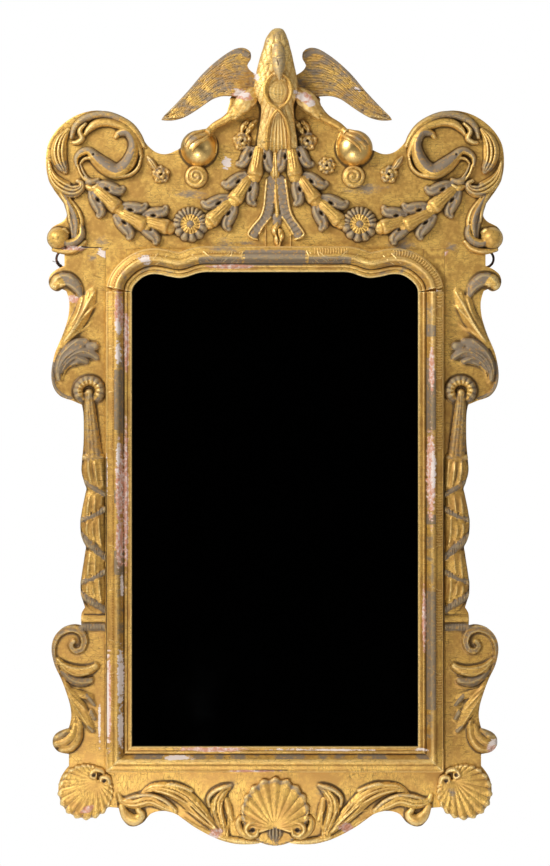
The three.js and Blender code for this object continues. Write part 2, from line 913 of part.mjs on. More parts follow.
// The feathered thigh and the thin shank that runs down the board's edge to the ball.
function thigh(grow = 0) {
  return legMember([
    [42, -52, 744, 13],
    [56, -50, 729, 17],
    [72, -46, 713, 12.5],
    [90, -42, 700, 7.5],
    [110, -41, 689, 6],
    [126, -50, 679, 7],
    [134, -60, 671, 7],
  ], { grow });
}

// The leg with its three claws, closed over the ball.
function leg() {
  const claws = [
    [[130, -56, 676, 6], [114, -56, 664, 5.5], [107, -47, 646, 5], [112, -43, 626, 3.5]],
    [[131, -60, 674, 6], [133, -68, 658, 5.5], [135, -69, 640, 4.5], [136, -63, 624, 3]],
    [[132, -58, 676, 6], [150, -60, 671, 5.5], [166, -56, 660, 4.5], [172, -44, 646, 3]],
  ].map((points) => legMember(points, { sides: 6 }));
  return cut(join(thigh(), ...claws), ball(seat), eagleBody(seat));
}

// Ribbon held in the bill: a round loop on the breast, crossing below and falling in two ends.
function beakRibbon() {
  const y = -80;
  const half = 3;
  const loop = [];
  const steps = 22;
  for (let k = 0; k < steps; k++) {
    const turn = (2 * Math.PI * k) / steps;
    const [x, z] = [eagleX + 3 + 23 * Math.sin(turn), placed([0, 747])[1] + 26 * Math.cos(turn)];
    const out = [Math.sin(turn) * half, Math.cos(turn) * half];
    loop.push([
      [x - out[0], y + 2.5, z - out[1]],
      [x + out[0], y + 2.5, z + out[1]],
      [x + out[0] * 0.6, y - 2, z + out[1] * 0.6],
      [x - out[0] * 0.6, y - 2, z - out[1] * 0.6],
    ]);
  }
  const fall = (sign) => limb([
    [3 - sign * 4, -77, 725, 3.4],
    [3 + sign * 7, -75.5, 705, 3.2],
    [3 + sign * 15, -71, 684, 3],
    [3 + sign * 18, -65, 664, 3],
    [3 + sign * 19, -59, 646, 2.6],
  ].map(([x, depth, height, radius]) => {
    return [eagleX + x, depth, placed([0, height])[1], radius];
  }), { sides: 6, perSpan: 1 });
  const ribbon = join(skin(loop, true), fall(1), fall(-1));
  return cut(ribbon, eagleBody(seat));
}

function eagleTail() {
  const on = (points) => stroke(points.map(([x, ...rest]) => [eagleX + x, ...rest])
    .map(([x, z, ...rest]) => [x, placed([0, z])[1], ...rest]), { from: carvingPlane });
  return join(
    on([[0, 592, 9, 9], [0, 570, 15, 14], [0, 545, 20, 16], [0, 524, 17, 14], [0, 510, 8, 8]]),
    ...[-1, 1].map((sign) => on([
      [sign * 9, 540, 10, 13],
      [sign * 18, 518, 10.5, 13],
      [sign * 29, 500, 9, 11],
      [sign * 35, 489, 5, 6],
    ])),
    on([[0, 522, 7, 12], [0, 500, 9, 9], [0, 483, 5.5, 6], [0, 475, 2, 3]]),
  );
}

// ---------------------------------------------------------------- festoon and flowers

// A husk: a ribbed middle lobe between two that curl outwards, from its calyx to its open end.
function husk(calyx, open) {
  const run = [open[0] - calyx[0], open[1] - calyx[1]];
  const length = Math.hypot(...run);
  const along = [run[0] / length, run[1] / length];
  const lobe = (points) => stroke(points.map(([share, out, halfWidth, rise]) => [
    calyx[0] + run[0] * share - along[1] * out,
    calyx[1] + run[1] * share + along[0] * out,
    halfWidth,
    rise,
  ]), { from: carvingPlane });
  const curl = (sign) => lobe([
    [0, 3 * sign, 4, 8],
    [0.3, 9 * sign, 6.5, 14],
    [0.66, 16 * sign, 6.5, 13],
    [0.92, 24 * sign, 3.5, 6],
  ]);
  const middle = lobe([[-0.02, 0, 4, 8], [0.3, 0, 8, 16], [0.72, 0, 10, 17], [1, 0, 7.5, 10]]);
  return [middle, curl(1), curl(-1)];
}

const innerHusks = [
  [[30, 637], [36, 592]],
  [[41, 596], [70, 550]],
  [[75, 554], [109, 521]],
];
const outerHusks = [
  [[327, 575], [283, 546]],
  [[283, 549], [236, 522]],
  [[236, 520], [190, 508]],
];

function festoon(husks, ...ends) {
  const lobes = husks.flatMap(([calyx, open]) => husk(placed(calyx), placed(open)));
  return join(...lobes, ...ends.map((points) => stroke(points.map(placed), { from: carvingPlane })));
}

// An open flower: a button, a ring of short petals and a rim of long ones.
function flower(at, { radius, petals, rise, button = 0.26 }) {
  const centre = placed(at);
  const lobed = (turn) => Math.abs(Math.cos((petals * turn) / 2));
  return boss({
    centre,
    steps: 2 * petals,
    shares: [button * 0.8, button * 1.25, 0.66, 0.72, 1],
    rim: (turn) => {
      const reach = radius * (0.86 + 0.14 * lobed(turn));
      return [centre[0] + reach * Math.cos(turn), centre[1] + reach * Math.sin(turn)];
    },
    rise: (share, turn) => {
      if (share < button) return rise;
      if (share < 0.6) return rise * 0.6;
      if (share < 0.7) return rise * (0.75 + 0.15 * lobed(turn));
      if (share < 0.9) return rise * 0.5;
      return rise * (0.2 + 0.2 * lobed(turn));
    },
  });
}

// A sprig: a bent stem with five small leaves round its end.
function sprig() {
  const [cx, cz] = placed([205, 602]);
  const stem = stroke([[232, 632, 3, 4], [221, 618, 3.5, 6], [209, 606, 4, 7]].map(placed),
    { from: carvingPlane, sides: 3 });
  const star = boss({
    centre: [cx, cz],
    steps: 10,
    shares: [0.3, 1],
    rim: (turn) => {
      const reach = 12 + 5.5 * Math.cos(5 * turn);
      return [cx + reach * Math.cos(turn), cz + reach * Math.sin(turn)];
    },
    rise: (share, turn) => (share < 1 ? 10 : 4 + 2 * Math.cos(5 * turn)),
  });
  return join(stem, star);
}

// The crest's ear: rim, inner scroll and outer leaf, and the stem that curls into a boss.
const earStrokes = [
  [[371, 668, 5, 6], [371, 687, 9, 11], [347, 702, 10, 12], [316, 706, 10, 12], [284, 699, 10, 11],
    [261, 683, 9, 10], [247, 662, 8, 9], [243, 640, 5, 6]],
  [[293, 671, 3, 5], [280, 679, 5.5, 9], [265, 669, 8, 12], [259, 647, 10, 13], [268, 626, 11, 13],
    [291, 615, 11, 13], [316, 630, 10, 13], [336, 648, 9, 12], [356, 641, 8, 11], [362, 620, 6, 9],
    [354, 599, 4, 5]],
  [[378, 697, 5, 7], [396, 673, 9, 11], [402, 643, 9.5, 12], [401, 612, 10, 12], [389, 585, 10, 12],
    [372, 573, 8, 10], [360, 578, 5, 6]],
  [[386, 668, 4, 7], [383, 645, 7, 10], [383, 622, 7, 10], [380, 608, 4, 6]],
  [[388, 572, 7, 9], [371, 552, 8, 11], [362, 528, 10, 12], [366, 506, 12, 15], [376, 496, 9, 18]],
];

function earScroll() {
  const strokes = earStrokes.map((points) => stroke(points.map(placed), { from: carvingPlane }));
  const [cx, cz] = placed([380, 487]);
  const knob = boss({
    centre: [cx, cz],
    steps: 18,
    shares: [0.35, 0.62, 0.85, 1],
    rim: (turn) => [cx + 27 * Math.cos(turn), cz + 26 * Math.sin(turn)],
    rise: (share) => 3 + 21 * Math.sqrt(Math.max(0, 1 - share * share)),
  });
  return join(...strokes, knob);
}

// ---------------------------------------------------------------- shells

// A scallop: ribs fan from the hinge to a scalloped rim, over a domed back, with a small
// scroll on each side of the hinge. Turned so that the fan opens towards the angle given.
function scallop({ centre, hinge, reach, rise, scrolls }) {
  const [cx, cz] = centre;
  const [hx, hz] = hinge;
  const opening = Math.atan2(cz - hz, cx - hx);
  const fan = 0.86 * Math.PI;
  const fluted = (turn) => Math.abs(Math.cos((shellRibs * turn) / 2));
  const fullTurn = 2 * Math.PI;
  const away = (turn) => {
    return Math.abs(THREE.MathUtils.euclideanModulo(turn - opening + Math.PI, fullTurn) - Math.PI);
  };
  const dome = boss({
    centre: [hx, hz],
    steps: 2 * shellRibs,
    shares: [0.2, 0.5, 0.8, 1],
    rim: (turn) => {
      const drawnIn = 1 - 0.2 * Math.exp(-(((Math.PI - away(turn)) / 0.45) ** 2));
      const open = reach * drawnIn * (0.965 + 0.035 * fluted(turn));
      return [cx + open * Math.cos(turn), cz + open * Math.sin(turn)];
    },
    rise: (share, turn) => {
      const ribbed = away(turn) < fan ? 3.2 * share * (fluted(turn) - 0.5) : 0;
      return rise * (0.35 + 0.65 * Math.sin(Math.PI * (0.28 + 0.6 * share))) + ribbed - share * 3;
    },
  });
  return join(dome, ...scrolls.map((points) => stroke(points, { from: carvingPlane })));
}

function cornerShell() {
  const centre = placed([340, -507]);
  const near = (dx, dz, ...rest) => [centre[0] + dx, centre[1] + dz, ...rest];
  return scallop({
    centre,
    hinge: near(-22, 24),
    reach: shellRadius,
    rise: 22,
    scrolls: [
      [near(-26, 24, 4, 10), near(-19, 33, 5.5, 16), near(-10, 29, 6, 16), near(-13, 21, 4, 14)],
      [near(-26, 20, 4, 12), near(-37, 22, 6, 15), near(-37, 13, 5, 14), near(-30, 12, 3, 12)],
    ],
  });
}

function apronShell() {
  const centre = placed([0, -543]);
  const near = (dx, dz, ...rest) => [centre[0] + dx, centre[1] + dz, ...rest];
  const scroll = (sign) => [
    near(sign * 18, -32, 4, 10),
    near(sign * 30, -27, 6, 15),
    near(sign * 43, -34, 7, 15),
    near(sign * 38, -45, 6, 13),
    near(sign * 26, -41, 5, 14),
  ];
  return scallop({
    centre: near(0, 0),
    hinge: near(0, -30),
    reach: 60,
    rise: 24,
    scrolls: [scroll(1), scroll(-1), [near(0, -34, 12, 14), near(0, -50, 14, 13), near(0, -61, 10, 6)]],
  });
}

// ---------------------------------------------------------------- finishes

const finishes = {
  gilt: { color: 0xc49a4e, roughness: 0.42, metalness: 0.5 },
  wornGilt: { color: 0x9c8a6c, roughness: 0.6, metalness: 0.25 },
  pine: { color: 0x8a6a48, roughness: 0.85, metalness: 0 },
  silvered: { color: 0x9aa0a4, roughness: 0.03, metalness: 1 },
  iron: { color: 0x2c2826, roughness: 0.7, metalness: 0.6 },
};

const girandole = new THREE.Group();

function piece(name, geometry, finish, mirroredAt = null) {
  const mesh = new THREE.Mesh(geometry, new THREE.MeshStandardMaterial(finishes[finish]));
  mesh.name = name;
  if (mirroredAt !== null) {
    mesh.scale.x = -1;
    mesh.position.x = 2 * mirroredAt;
  }
  girandole.add(mesh);
}

// A piece and its fellow on the left, mirrored in the middle line of the frame or of the bird.
function pair(name, geometry, finish, middle = 0) {
  piece(`${name}_right`, geometry, finish);
  piece(`${name}_left`, geometry, finish, middle);
}

// ---------------------------------------------------------------- the assembly

pair("carcass_stile", carcassStile(), "pine");
piece("carcass_rail_top", carcassRail(rebate.top, top), "pine");
piece("carcass_rail_bottom", carcassRail(foot, rebate.foot), "pine");
piece("crest_board", plank(crestOutline(), backPlane, frontPlane), "gilt");
pair("side_board", sideBoard(), "gilt");
piece("apron_board", apronBoard(), "gilt");

piece("moulding_top", topMoulding(), "gilt");
pair("moulding_side", sideMoulding(), "gilt");
piece("moulding_bottom", footMoulding(), "gilt");

piece("mirror_plate", mirrorPlate(), "silvered");
pair("glazing_strip", sideStrip(), "pine");
piece("glazing_strip_top", crossStrip(rebate.top - seat, -1), "pine");
piece("glazing_strip_bottom", crossStrip(rebate.foot + seat, 1), "pine");
piece("backboard_bottom", backboard(0), "pine");
piece("backboard_middle", backboard(1), "pine");
piece("backboard_top", backboard(2), "pine");

const crestBattenTop = placed([0, 640])[1];
const apronBattenFoot = placed([0, -572])[1];
pair("crest_batten", batten(backboardEdge.top + backboardGap, crestBattenTop), "pine");
pair("apron_batten", batten(apronBattenFoot, backboardEdge.foot - backboardGap), "pine");

pair("hanger_strap", hangerStrap(), "iron");
const screwNames = ["hanger_screw_outer", "hanger_screw_inner"];
screwPlaces().forEach((x, i) => pair(screwNames[i], hangerScrew(x), "iron"));
pair("hanging_ring", hangingRing(), "iron");
piece("binding_wire_left", ringBinding(), "iron", 0);

piece("eagle_body", eagleBody(), "gilt");
pair("eagle_wing", wing(), "gilt", eagleX);
pair("eagle_leg", leg(), "gilt", eagleX);
pair("eagle_ball", ball(), "gilt", eagleX);
piece("beak_ribbon", beakRibbon(), "gilt");
piece("eagle_tail", eagleTail(), "wornGilt");

pair("husks_inner", festoon(innerHusks), "wornGilt");
const knot = [[340, 592, 4, 6], [333, 585, 8, 12], [325, 574, 6, 9]];
pair("husks_outer", festoon(outerHusks, knot), "wornGilt");
const sunflower = { radius: sunflowerRadius, petals: sunflowerPetals, rise: 17 };
pair("sunflower", flower([152, 511], sunflower), "wornGilt");
pair("rosette", flower([139.5, 595], { radius: 20, petals: 6, rise: 13, button: 0.3 }), "gilt");
pair("floret", flower([58, 662], { radius: 18, petals: 5, rise: 12, button: 0.3 }), "gilt");
piece("floret_lower_right", flower([93, 614], { radius: 15, petals: 5, rise: 11, button: 0.3 }), "wornGilt");
pair("sprig", sprig(), "gilt");
pair("ear_scroll", earScroll(), "gilt");
pair("corner_shell", cornerShell(), "gilt");
piece("apron_shell", apronShell(), "gilt");

export default girandole;
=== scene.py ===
"""An eagle-crested wall mirror in carved and gilt pine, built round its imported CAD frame.

Laid out as a Blender add-on and run as a script. Lengths in the pieces' own data are in
millimetres, drawn in the frame's plane: x to the right, z up, and rise towards the viewer.
"""

import math
from functools import partial

import bmesh
import bpy
import numpy as np
from mathutils import Matrix, Vector


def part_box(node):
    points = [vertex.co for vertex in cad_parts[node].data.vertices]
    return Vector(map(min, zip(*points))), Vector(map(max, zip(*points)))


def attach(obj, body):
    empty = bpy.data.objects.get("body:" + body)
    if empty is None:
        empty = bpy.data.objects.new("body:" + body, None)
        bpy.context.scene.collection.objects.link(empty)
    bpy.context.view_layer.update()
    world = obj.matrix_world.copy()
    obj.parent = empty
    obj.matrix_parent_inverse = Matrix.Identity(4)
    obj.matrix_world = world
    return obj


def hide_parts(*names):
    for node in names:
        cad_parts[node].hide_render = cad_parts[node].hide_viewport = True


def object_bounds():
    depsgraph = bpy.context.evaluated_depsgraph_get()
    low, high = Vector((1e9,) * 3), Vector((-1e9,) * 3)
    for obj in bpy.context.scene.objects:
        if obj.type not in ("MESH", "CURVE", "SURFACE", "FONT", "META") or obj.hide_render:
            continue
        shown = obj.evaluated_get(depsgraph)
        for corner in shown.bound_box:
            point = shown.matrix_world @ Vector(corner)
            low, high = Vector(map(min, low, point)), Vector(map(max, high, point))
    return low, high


bl_info = {
    "name": "Eagle-crested wall mirror",
    "version": (1, 0, 0),
    "blender": (4, 5, 0),
    "location": "3D View > Sidebar > Wall Mirror",
    "description": "Carved and gilt surfaces for the wall mirror's packed frame",
    "category": "Object",
}

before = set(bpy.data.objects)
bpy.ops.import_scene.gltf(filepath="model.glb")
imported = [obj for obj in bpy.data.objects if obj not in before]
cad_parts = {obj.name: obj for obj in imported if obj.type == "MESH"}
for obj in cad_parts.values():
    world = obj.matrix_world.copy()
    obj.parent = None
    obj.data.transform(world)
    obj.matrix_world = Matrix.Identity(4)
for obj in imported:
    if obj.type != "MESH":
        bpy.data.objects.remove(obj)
cad_box = [list(corner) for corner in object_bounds()]

MM = 0.001


def box_mm(node):
    low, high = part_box(node)
    return np.array(low) / MM, np.array(high) / MM


FACE = box_mm("crest_board")[0][1]  # y of the boards' fronts
BACK = box_mm("crest_board")[1][1]  # y of their backs
SIGHT_SIDE = box_mm("moulding_side_right")[0][0]  # plate's edge, middle to side
SIGHT_FOOT = box_mm("moulding_bottom")[1][2]
MOULDING_JOINT = box_mm("moulding_side_right")[1][2]
GLUED = FACE + 0.5  # backs of applied carving, just inside the boards


# ---------------------------------------------------------------- colours and sizes


def hex_colour(value):
    """An sRGB hex value as linear red, green, blue and alpha."""
    parts = [((value >> shift) & 255) / 255 for shift in (16, 8, 0)]
    linear = [p / 12.92 if p <= 0.04045 else ((p + 0.055) / 1.055) ** 2.4 for p in parts]
    return (*linear, 1.0)


def colour_property(name, description, value):
    return bpy.props.FloatVectorProperty(
        name=name, description=description, default=hex_colour(value), subtype="COLOR",
        size=4, min=0, max=1,
    )


class MirrorColours(bpy.types.PropertyGroup):
    """Colours of the mirror's finishes."""

    gold: colour_property("Gold", "Leaf on the flats", 0xDDB25A)
    # Burnished leaf, and the painted highlight on ridges.
    bright_gold_and_highlight: colour_property("Bright gold", "Burnished leaf on ridges", 0xF3D590)
    deep_gold: colour_property("Deep gold", "Leaf darkened by handling", 0xB48742)
    # Dirt, and the painted shade in hollows and round what stands on the boards; also dust, cracks and
    # foxing.
    dirt_and_shade: colour_property("Grime", "Dirt held in the hollows", 0x3B2812)
    worn: colour_property("Worn leaf", "Grey-brown ground where the leaf is gone", 0x7C6C58)
    handling: colour_property("Handling", "Darkening where hands reach", 0xDDD7CB)
    bole: colour_property("Bole", "Red clay under the leaf", 0xB47A5E)
    gesso: colour_property("Gesso", "Chalk ground under the bole", 0xCBBCB2)
    pine: colour_property("Pine", "Bare wood of backs and battens", 0x8A6138)
    pine_dark: colour_property("Pine, late wood", "Darker rings of the grain", 0x5E3E20)
    iron: colour_property("Iron", "Rings, straps and screws", 0x2B2623)
    rust: colour_property("Rust", "Rust on the iron", 0x5A3420)
    silver: colour_property("Silvering", "Old silvering behind the glass", 0x6A6E70)


class MirrorSizes(bpy.types.PropertyGroup):
    """Sizes of the mirror's repeated work."""

    board_step: bpy.props.FloatProperty(
        name="Board step", description="Spacing of the boards' surface points",
        default=1.7 * MM, min=0.5 * MM, unit="LENGTH")
    carving_step: bpy.props.FloatProperty(
        name="Carving step", description="Spacing of the applied carving's surface points",
        default=1.15 * MM, min=0.4 * MM, unit="LENGTH")
    nick_pitch: bpy.props.FloatProperty(
        name="Nick pitch", description="From one nick of the moulding to the next",
        default=4.6 * MM, min=2 * MM, unit="LENGTH")
    nail_pitch: bpy.props.FloatProperty(
        name="Nail pitch", description="From one nail of the backboards to the next",
        default=92 * MM, min=20 * MM, unit="LENGTH")


def sizes():
    return bpy.context.scene.wall_mirror_sizes


# ---------------------------------------------------------------- wear, listed place by place

# Places where the finish is gone, as ellipses: x, z, half width, half height and, where the
# ellipse leans, the lean in degrees. First those down to the white gesso.
GESSO_LOSSES = [
    (-234, 448, 15, 7, -30), (-87, 622, 9, 11), (-62, 745, 16, 7, -30), (45, 738, 14, 6, -35),
    (64, 724, 9, 6), (-303, 455, 22, 7, -35), (-345, 470, 14, 2.5), (-281, 325, 6, 15, 8),
    (-281, 278, 6, 24), (-275, -140, 3, 26), (-277, -300, 6, 60), (-277, -395, 5, 40), (284, 70, 5, 40),
    (-281, 95, 4, 30), (-178, -447, 32, 4), (60, -433, 105, 1.8), (110, -434, 60, 1.8),
    (-302, 60, 1.6, 50), (-300, -340, 2.6, 90), (-33, 772, 4, 12, 20), (150, 752, 8, 3, -40),
    (286, 392, 10, 3), (-316, -388, 2.5, 40), (262, -433, 14, 3), (393, -420, 10, 7),
]
# Down to the red bole.
BOLE_LOSSES = [
    (-363, 377, 9, 9), (-80, 435, 42, 4.5), (-267, 300, 5, 58), (-280, 350, 8, 44), (-268, 20, 5, 138),
    (-298, -340, 4, 92), (-112, -433, 72, 4), (-110, -587, 18, 10, 30), (130, -575, 18, 9, -30),
    (-60, 742, 20, 10, -30), (56, 733, 20, 10, -35), (-279, 50, 7, 78), (-279, -60, 6, 54),
    (280, 60, 8, 84), (268, -200, 4, 60), (392, -432, 12, 10), (-40, -471, 52, 2), (281, 250, 5, 45),
    (-338, -540, 14, 6, 30), (300, 455, 16, 4, 30), (-362, 468, 24, 4),
]
# Rubbed through to the grey-brown ground.
WORN_PLACES = [
    (-50, 479, 36, 7), (0, 457, 54, 13), (-312, 480, 15, 13, 20), (-328, 452, 11, 9),
    (318, 470, 15, 13, -20), (5, 846, 15, 13), (8, 812, 8, 18), (165, 575, 52, 15), (-150, 566, 44, 12),
    (-90, 470, 40, 22), (230, 470, 34, 26), (-144, 664, 28, 13, 32), (150, 662, 27, 13, -32),
    (-96, 443, 34, 8), (96, 443, 34, 8), (-232, 432, 18, 9, 40), (232, 432, 18, 9, 40),
    (-385, -552, 17, 15), (-77, -500, 12, 15, -20), (84, -505, 12, 15, 20), (-270, 418, 7, 17, 20),
    (-282, 180, 4, 70), (282, 180, 4, 70), (282, -120, 5, 85), (282, -330, 5, 70),
    (318, -512, 9, 22, 20), (-196, 424, 22, 6, -10), (196, 424, 22, 6, 10),
]
# From x, z to x, z, with the half width.
CRACKS = [
    (-347, 471, -300, 468, 1.1), (143, 752, 158, 751, 1.0), (-303, 90, -302, -430, 0.9),
    (303, 90, 302, -430, 0.7), (-344, -190, -304, -190, 0.9), (344, -190, 304, -190, 0.7),
    (-36, -469, 23, -469, 0.8), (-305, -245, -305, -420, 1.0), (-30, 497, -30, 470, 0.7),
]


def spread(x, z, places):
    """How far each point is inside the nearest of some ellipses: 1 in the middle, 0.5 at the edge."""
    best = np.zeros(len(x))
    for cx, cz, wide, high, *lean in places:
        turn = math.radians(lean[0] if lean else 0)
        dx, dz = x - cx, z - cz
        u = (dx * math.cos(turn) + dz * math.sin(turn)) / wide
        v = (dz * math.cos(turn) - dx * math.sin(turn)) / high
        best = np.maximum(best, np.clip(1 - 0.5 * np.hypot(u, v), 0, 1))
    return best


def crack_lines(x, z):
    best = np.zeros(len(x))
    for x0, z0, x1, z1, wide in CRACKS:
        dx, dz = x1 - x0, z1 - z0
        share = np.clip(((x - x0) * dx + (z - z0) * dz) / (dx * dx + dz * dz), 0, 1)
        away = np.hypot(x - x0 - share * dx, z - z0 - share * dz)
        best = np.maximum(best, np.clip(1.6 - away / wide, 0, 1))
    return best


def rows(items, field, kind=np.float64):
    """What a mesh's points hold in that field, as rows of three."""
    values = np.empty(len(items) * 3, kind)
    items.foreach_get(field, values)
    return values.reshape(-1, 3)


def give(mesh, name, values):
    """A value for each vertex, which the materials read by name."""
    layer = mesh.attributes.get(name) or mesh.attributes.new(name, "FLOAT", "POINT")
    layer.data.foreach_set("value", np.asarray(values, np.float32))


def weather(obj, relief=None, worn=None):
    """Gives a gilt piece its wear and painted light: ridges and hollows, painted paler and darker, and the
    places where the finish is gone.
    """
    mesh = obj.data
    place = rows(mesh.vertices, "co", np.float32) / MM
    x, z = place[:, 0].astype(float), place[:, 2].astype(float)
    front = np.clip((BACK - 8 - place[:, 1]) / 6, 0, 1)
    give(mesh, "relief", shape_relief(mesh) if relief is None else relief)
    give(mesh, "worn", np.maximum(0.64 * spread(x, z, WORN_PLACES), 0 if worn is None else worn) * front)
    give(mesh, "bole", spread(x, z, BOLE_LOSSES) * front)
    give(mesh, "gesso", spread(x, z, GESSO_LOSSES) * front)
    give(mesh, "crack", crack_lines(x, z) * front)


def shape_relief(mesh, rounds=10, depth=1.6):
    """Ridge, above 0, or hollow, below it, from how far each vertex stands off its neighbours."""
    count = len(mesh.vertices)
    place = rows(mesh.vertices, "co") / MM
    ends = np.empty(len(mesh.edges) * 2, np.int64)
    mesh.edges.foreach_get("vertices", ends)
    one, two = ends.reshape(-1, 2).T
    degree = np.maximum(np.bincount(one, minlength=count) + np.bincount(two, minlength=count), 1)
    soft = place.copy()
    for _ in range(rounds):
        total = np.empty_like(soft)
        for axis in range(3):
            total[:, axis] = (np.bincount(one, soft[two, axis], count)
                              + np.bincount(two, soft[one, axis], count))
        soft = 0.5 * soft + 0.5 * total / degree[:, None]
    outwards = rows(mesh.vertex_normals, "vector")
    return np.clip(((place - soft) * outwards).sum(1) / depth, -1, 1)


# ---------------------------------------------------------------- lines and outlines


def smooth_run(points, gap):
    """A smooth line through given points of any number of values, close together."""
    p = np.array(points, float)
    p = np.vstack([p[:1], p, p[-1:]])
    parts = []
    for a, b, c, d in zip(p, p[1:], p[2:], p[3:]):
        count = max(2, int(math.hypot(c[0] - b[0], c[1] - b[1]) / gap))
        t = np.linspace(0, 1, count, endpoint=False)[:, None]
        parts.append(b + 0.5 * ((c - a) * t + (2 * a - 5 * b + 4 * c - d) * t**2
                                + (3 * b - a - 3 * c + d) * t**3))
    parts.append(p[-1:])
    return np.vstack(parts)


def node_outline(node, plane):
    """The outline of a board, from the flat back of its CAD node at that y."""
    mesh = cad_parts[node].data
    place = rows(mesh.vertices, "co", np.float32) / MM
    follow = {}
    for face in mesh.polygons:
        corners = [tuple(np.round(place[i], 2)) for i in face.vertices]
        if all(abs(c[1] - plane) < 0.05 for c in corners):
            flat = [(float(c[0]), float(c[2])) for c in corners]
            for a, b in zip(flat, flat[1:] + flat[:1]):
                if follow.get(b, set()) and a in follow[b]:
                    follow[b].discard(a)
                else:
                    follow.setdefault(a, set()).add(b)
    loops = []
    while any(follow.values()):
        start = next(a for a, ends in follow.items() if ends)
        loop = [start]
        while follow.get(loop[-1]):
            loop.append(follow[loop[-1]].pop())
        loops.append(loop[:-1])
    return max(loops, key=len)


def softened(outline, gap=1.0, sharpest=38):
    """A closed outline with its gentle bends made smooth and its sharp corners kept."""
    points = np.array(outline, float)
    before, after = points - np.roll(points, 1, 0), np.roll(points, -1, 0) - points
    turn = np.degrees(np.arctan2(before[:, 0] * after[:, 1] - before[:, 1] * after[:, 0],
                                 (before * after).sum(1)))
    sharp = np.flatnonzero(np.abs(turn) > sharpest)
    points = np.roll(points, -sharp[0], 0)
    marks = [*(sharp - sharp[0]), len(points)]
    closed = np.vstack([points, points[:1]])
    runs = [smooth_run(closed[a:b + 1], gap)[:-1] for a, b in zip(marks, marks[1:])]
    return np.clip(np.vstack(runs), points.min(0), points.max(0))


# ---------------------------------------------------------------- sections of carved strokes

# Each takes the place across the stroke (-1 to 1), the distance along it in mm and the share
# of its length, and gives the height as a share of the stroke's rise.


def rounded(across, along, share):
    return np.sqrt(np.clip(1 - across**2, 0, 1))


def soft_ridge(across, along, share):
    return np.cos(across * math.pi / 2) ** 2


def leaf(across, along, share):
    """Two lobes with a sunk midrib and lips that stand up."""
    lip = 0.62 + 0.38 * np.cos((np.abs(across) - 0.62) * 3.6)
    return lip * np.clip((1 - np.abs(across)) * 5, 0, 1) ** 0.6


def coved(across, along, share):
    """A hollow band between a high left lip and a low right one."""
    lips = 0.42 + 0.58 * np.abs(across + 0.12) ** 2.2
    return lips * np.clip((1 - np.abs(across)) * 5, 0, 1) ** 0.6


def ribbed(count, depth=0.35):
    def shape(across, along, share):
        rib = np.abs(np.cos(count * math.pi * (across + 1) / 2))
        return (1 - depth * (1 - rib) ** 1.5) * np.clip(1 - across**2, 0, 1) ** 0.42

    return shape


def gadrooned(pitch, depth=0.4):
    def shape(across, along, share):
        rib = np.abs(np.sin(math.pi * along / pitch)) ** 0.6
        return (1 - depth + depth * rib) * np.sqrt(np.clip(1 - across**2, 0, 1))

    return shape


def feathered(pitch=3.4, depth=0.22):
    """A long feather: a shaft down the middle and barbs that slope back from it."""
    def shape(across, along, share):
        barb = 0.5 + 0.5 * np.cos(2 * math.pi * (along - 9 * np.abs(across)) / pitch)
        shaft = 0.14 * np.exp(-((across / 0.16) ** 2))
        body = 0.72 + 0.28 * np.sqrt(np.clip(1 - across**2, 0, 1)) - depth * 0.5 * barb
        return (body + shaft) * np.clip((1 - np.abs(across)) * 6, 0, 1) ** 0.5

    return shape


# ---------------------------------------------------------------- a carved sheet


standing = []  # applied carvings made so far, with the plane each was mirrored at


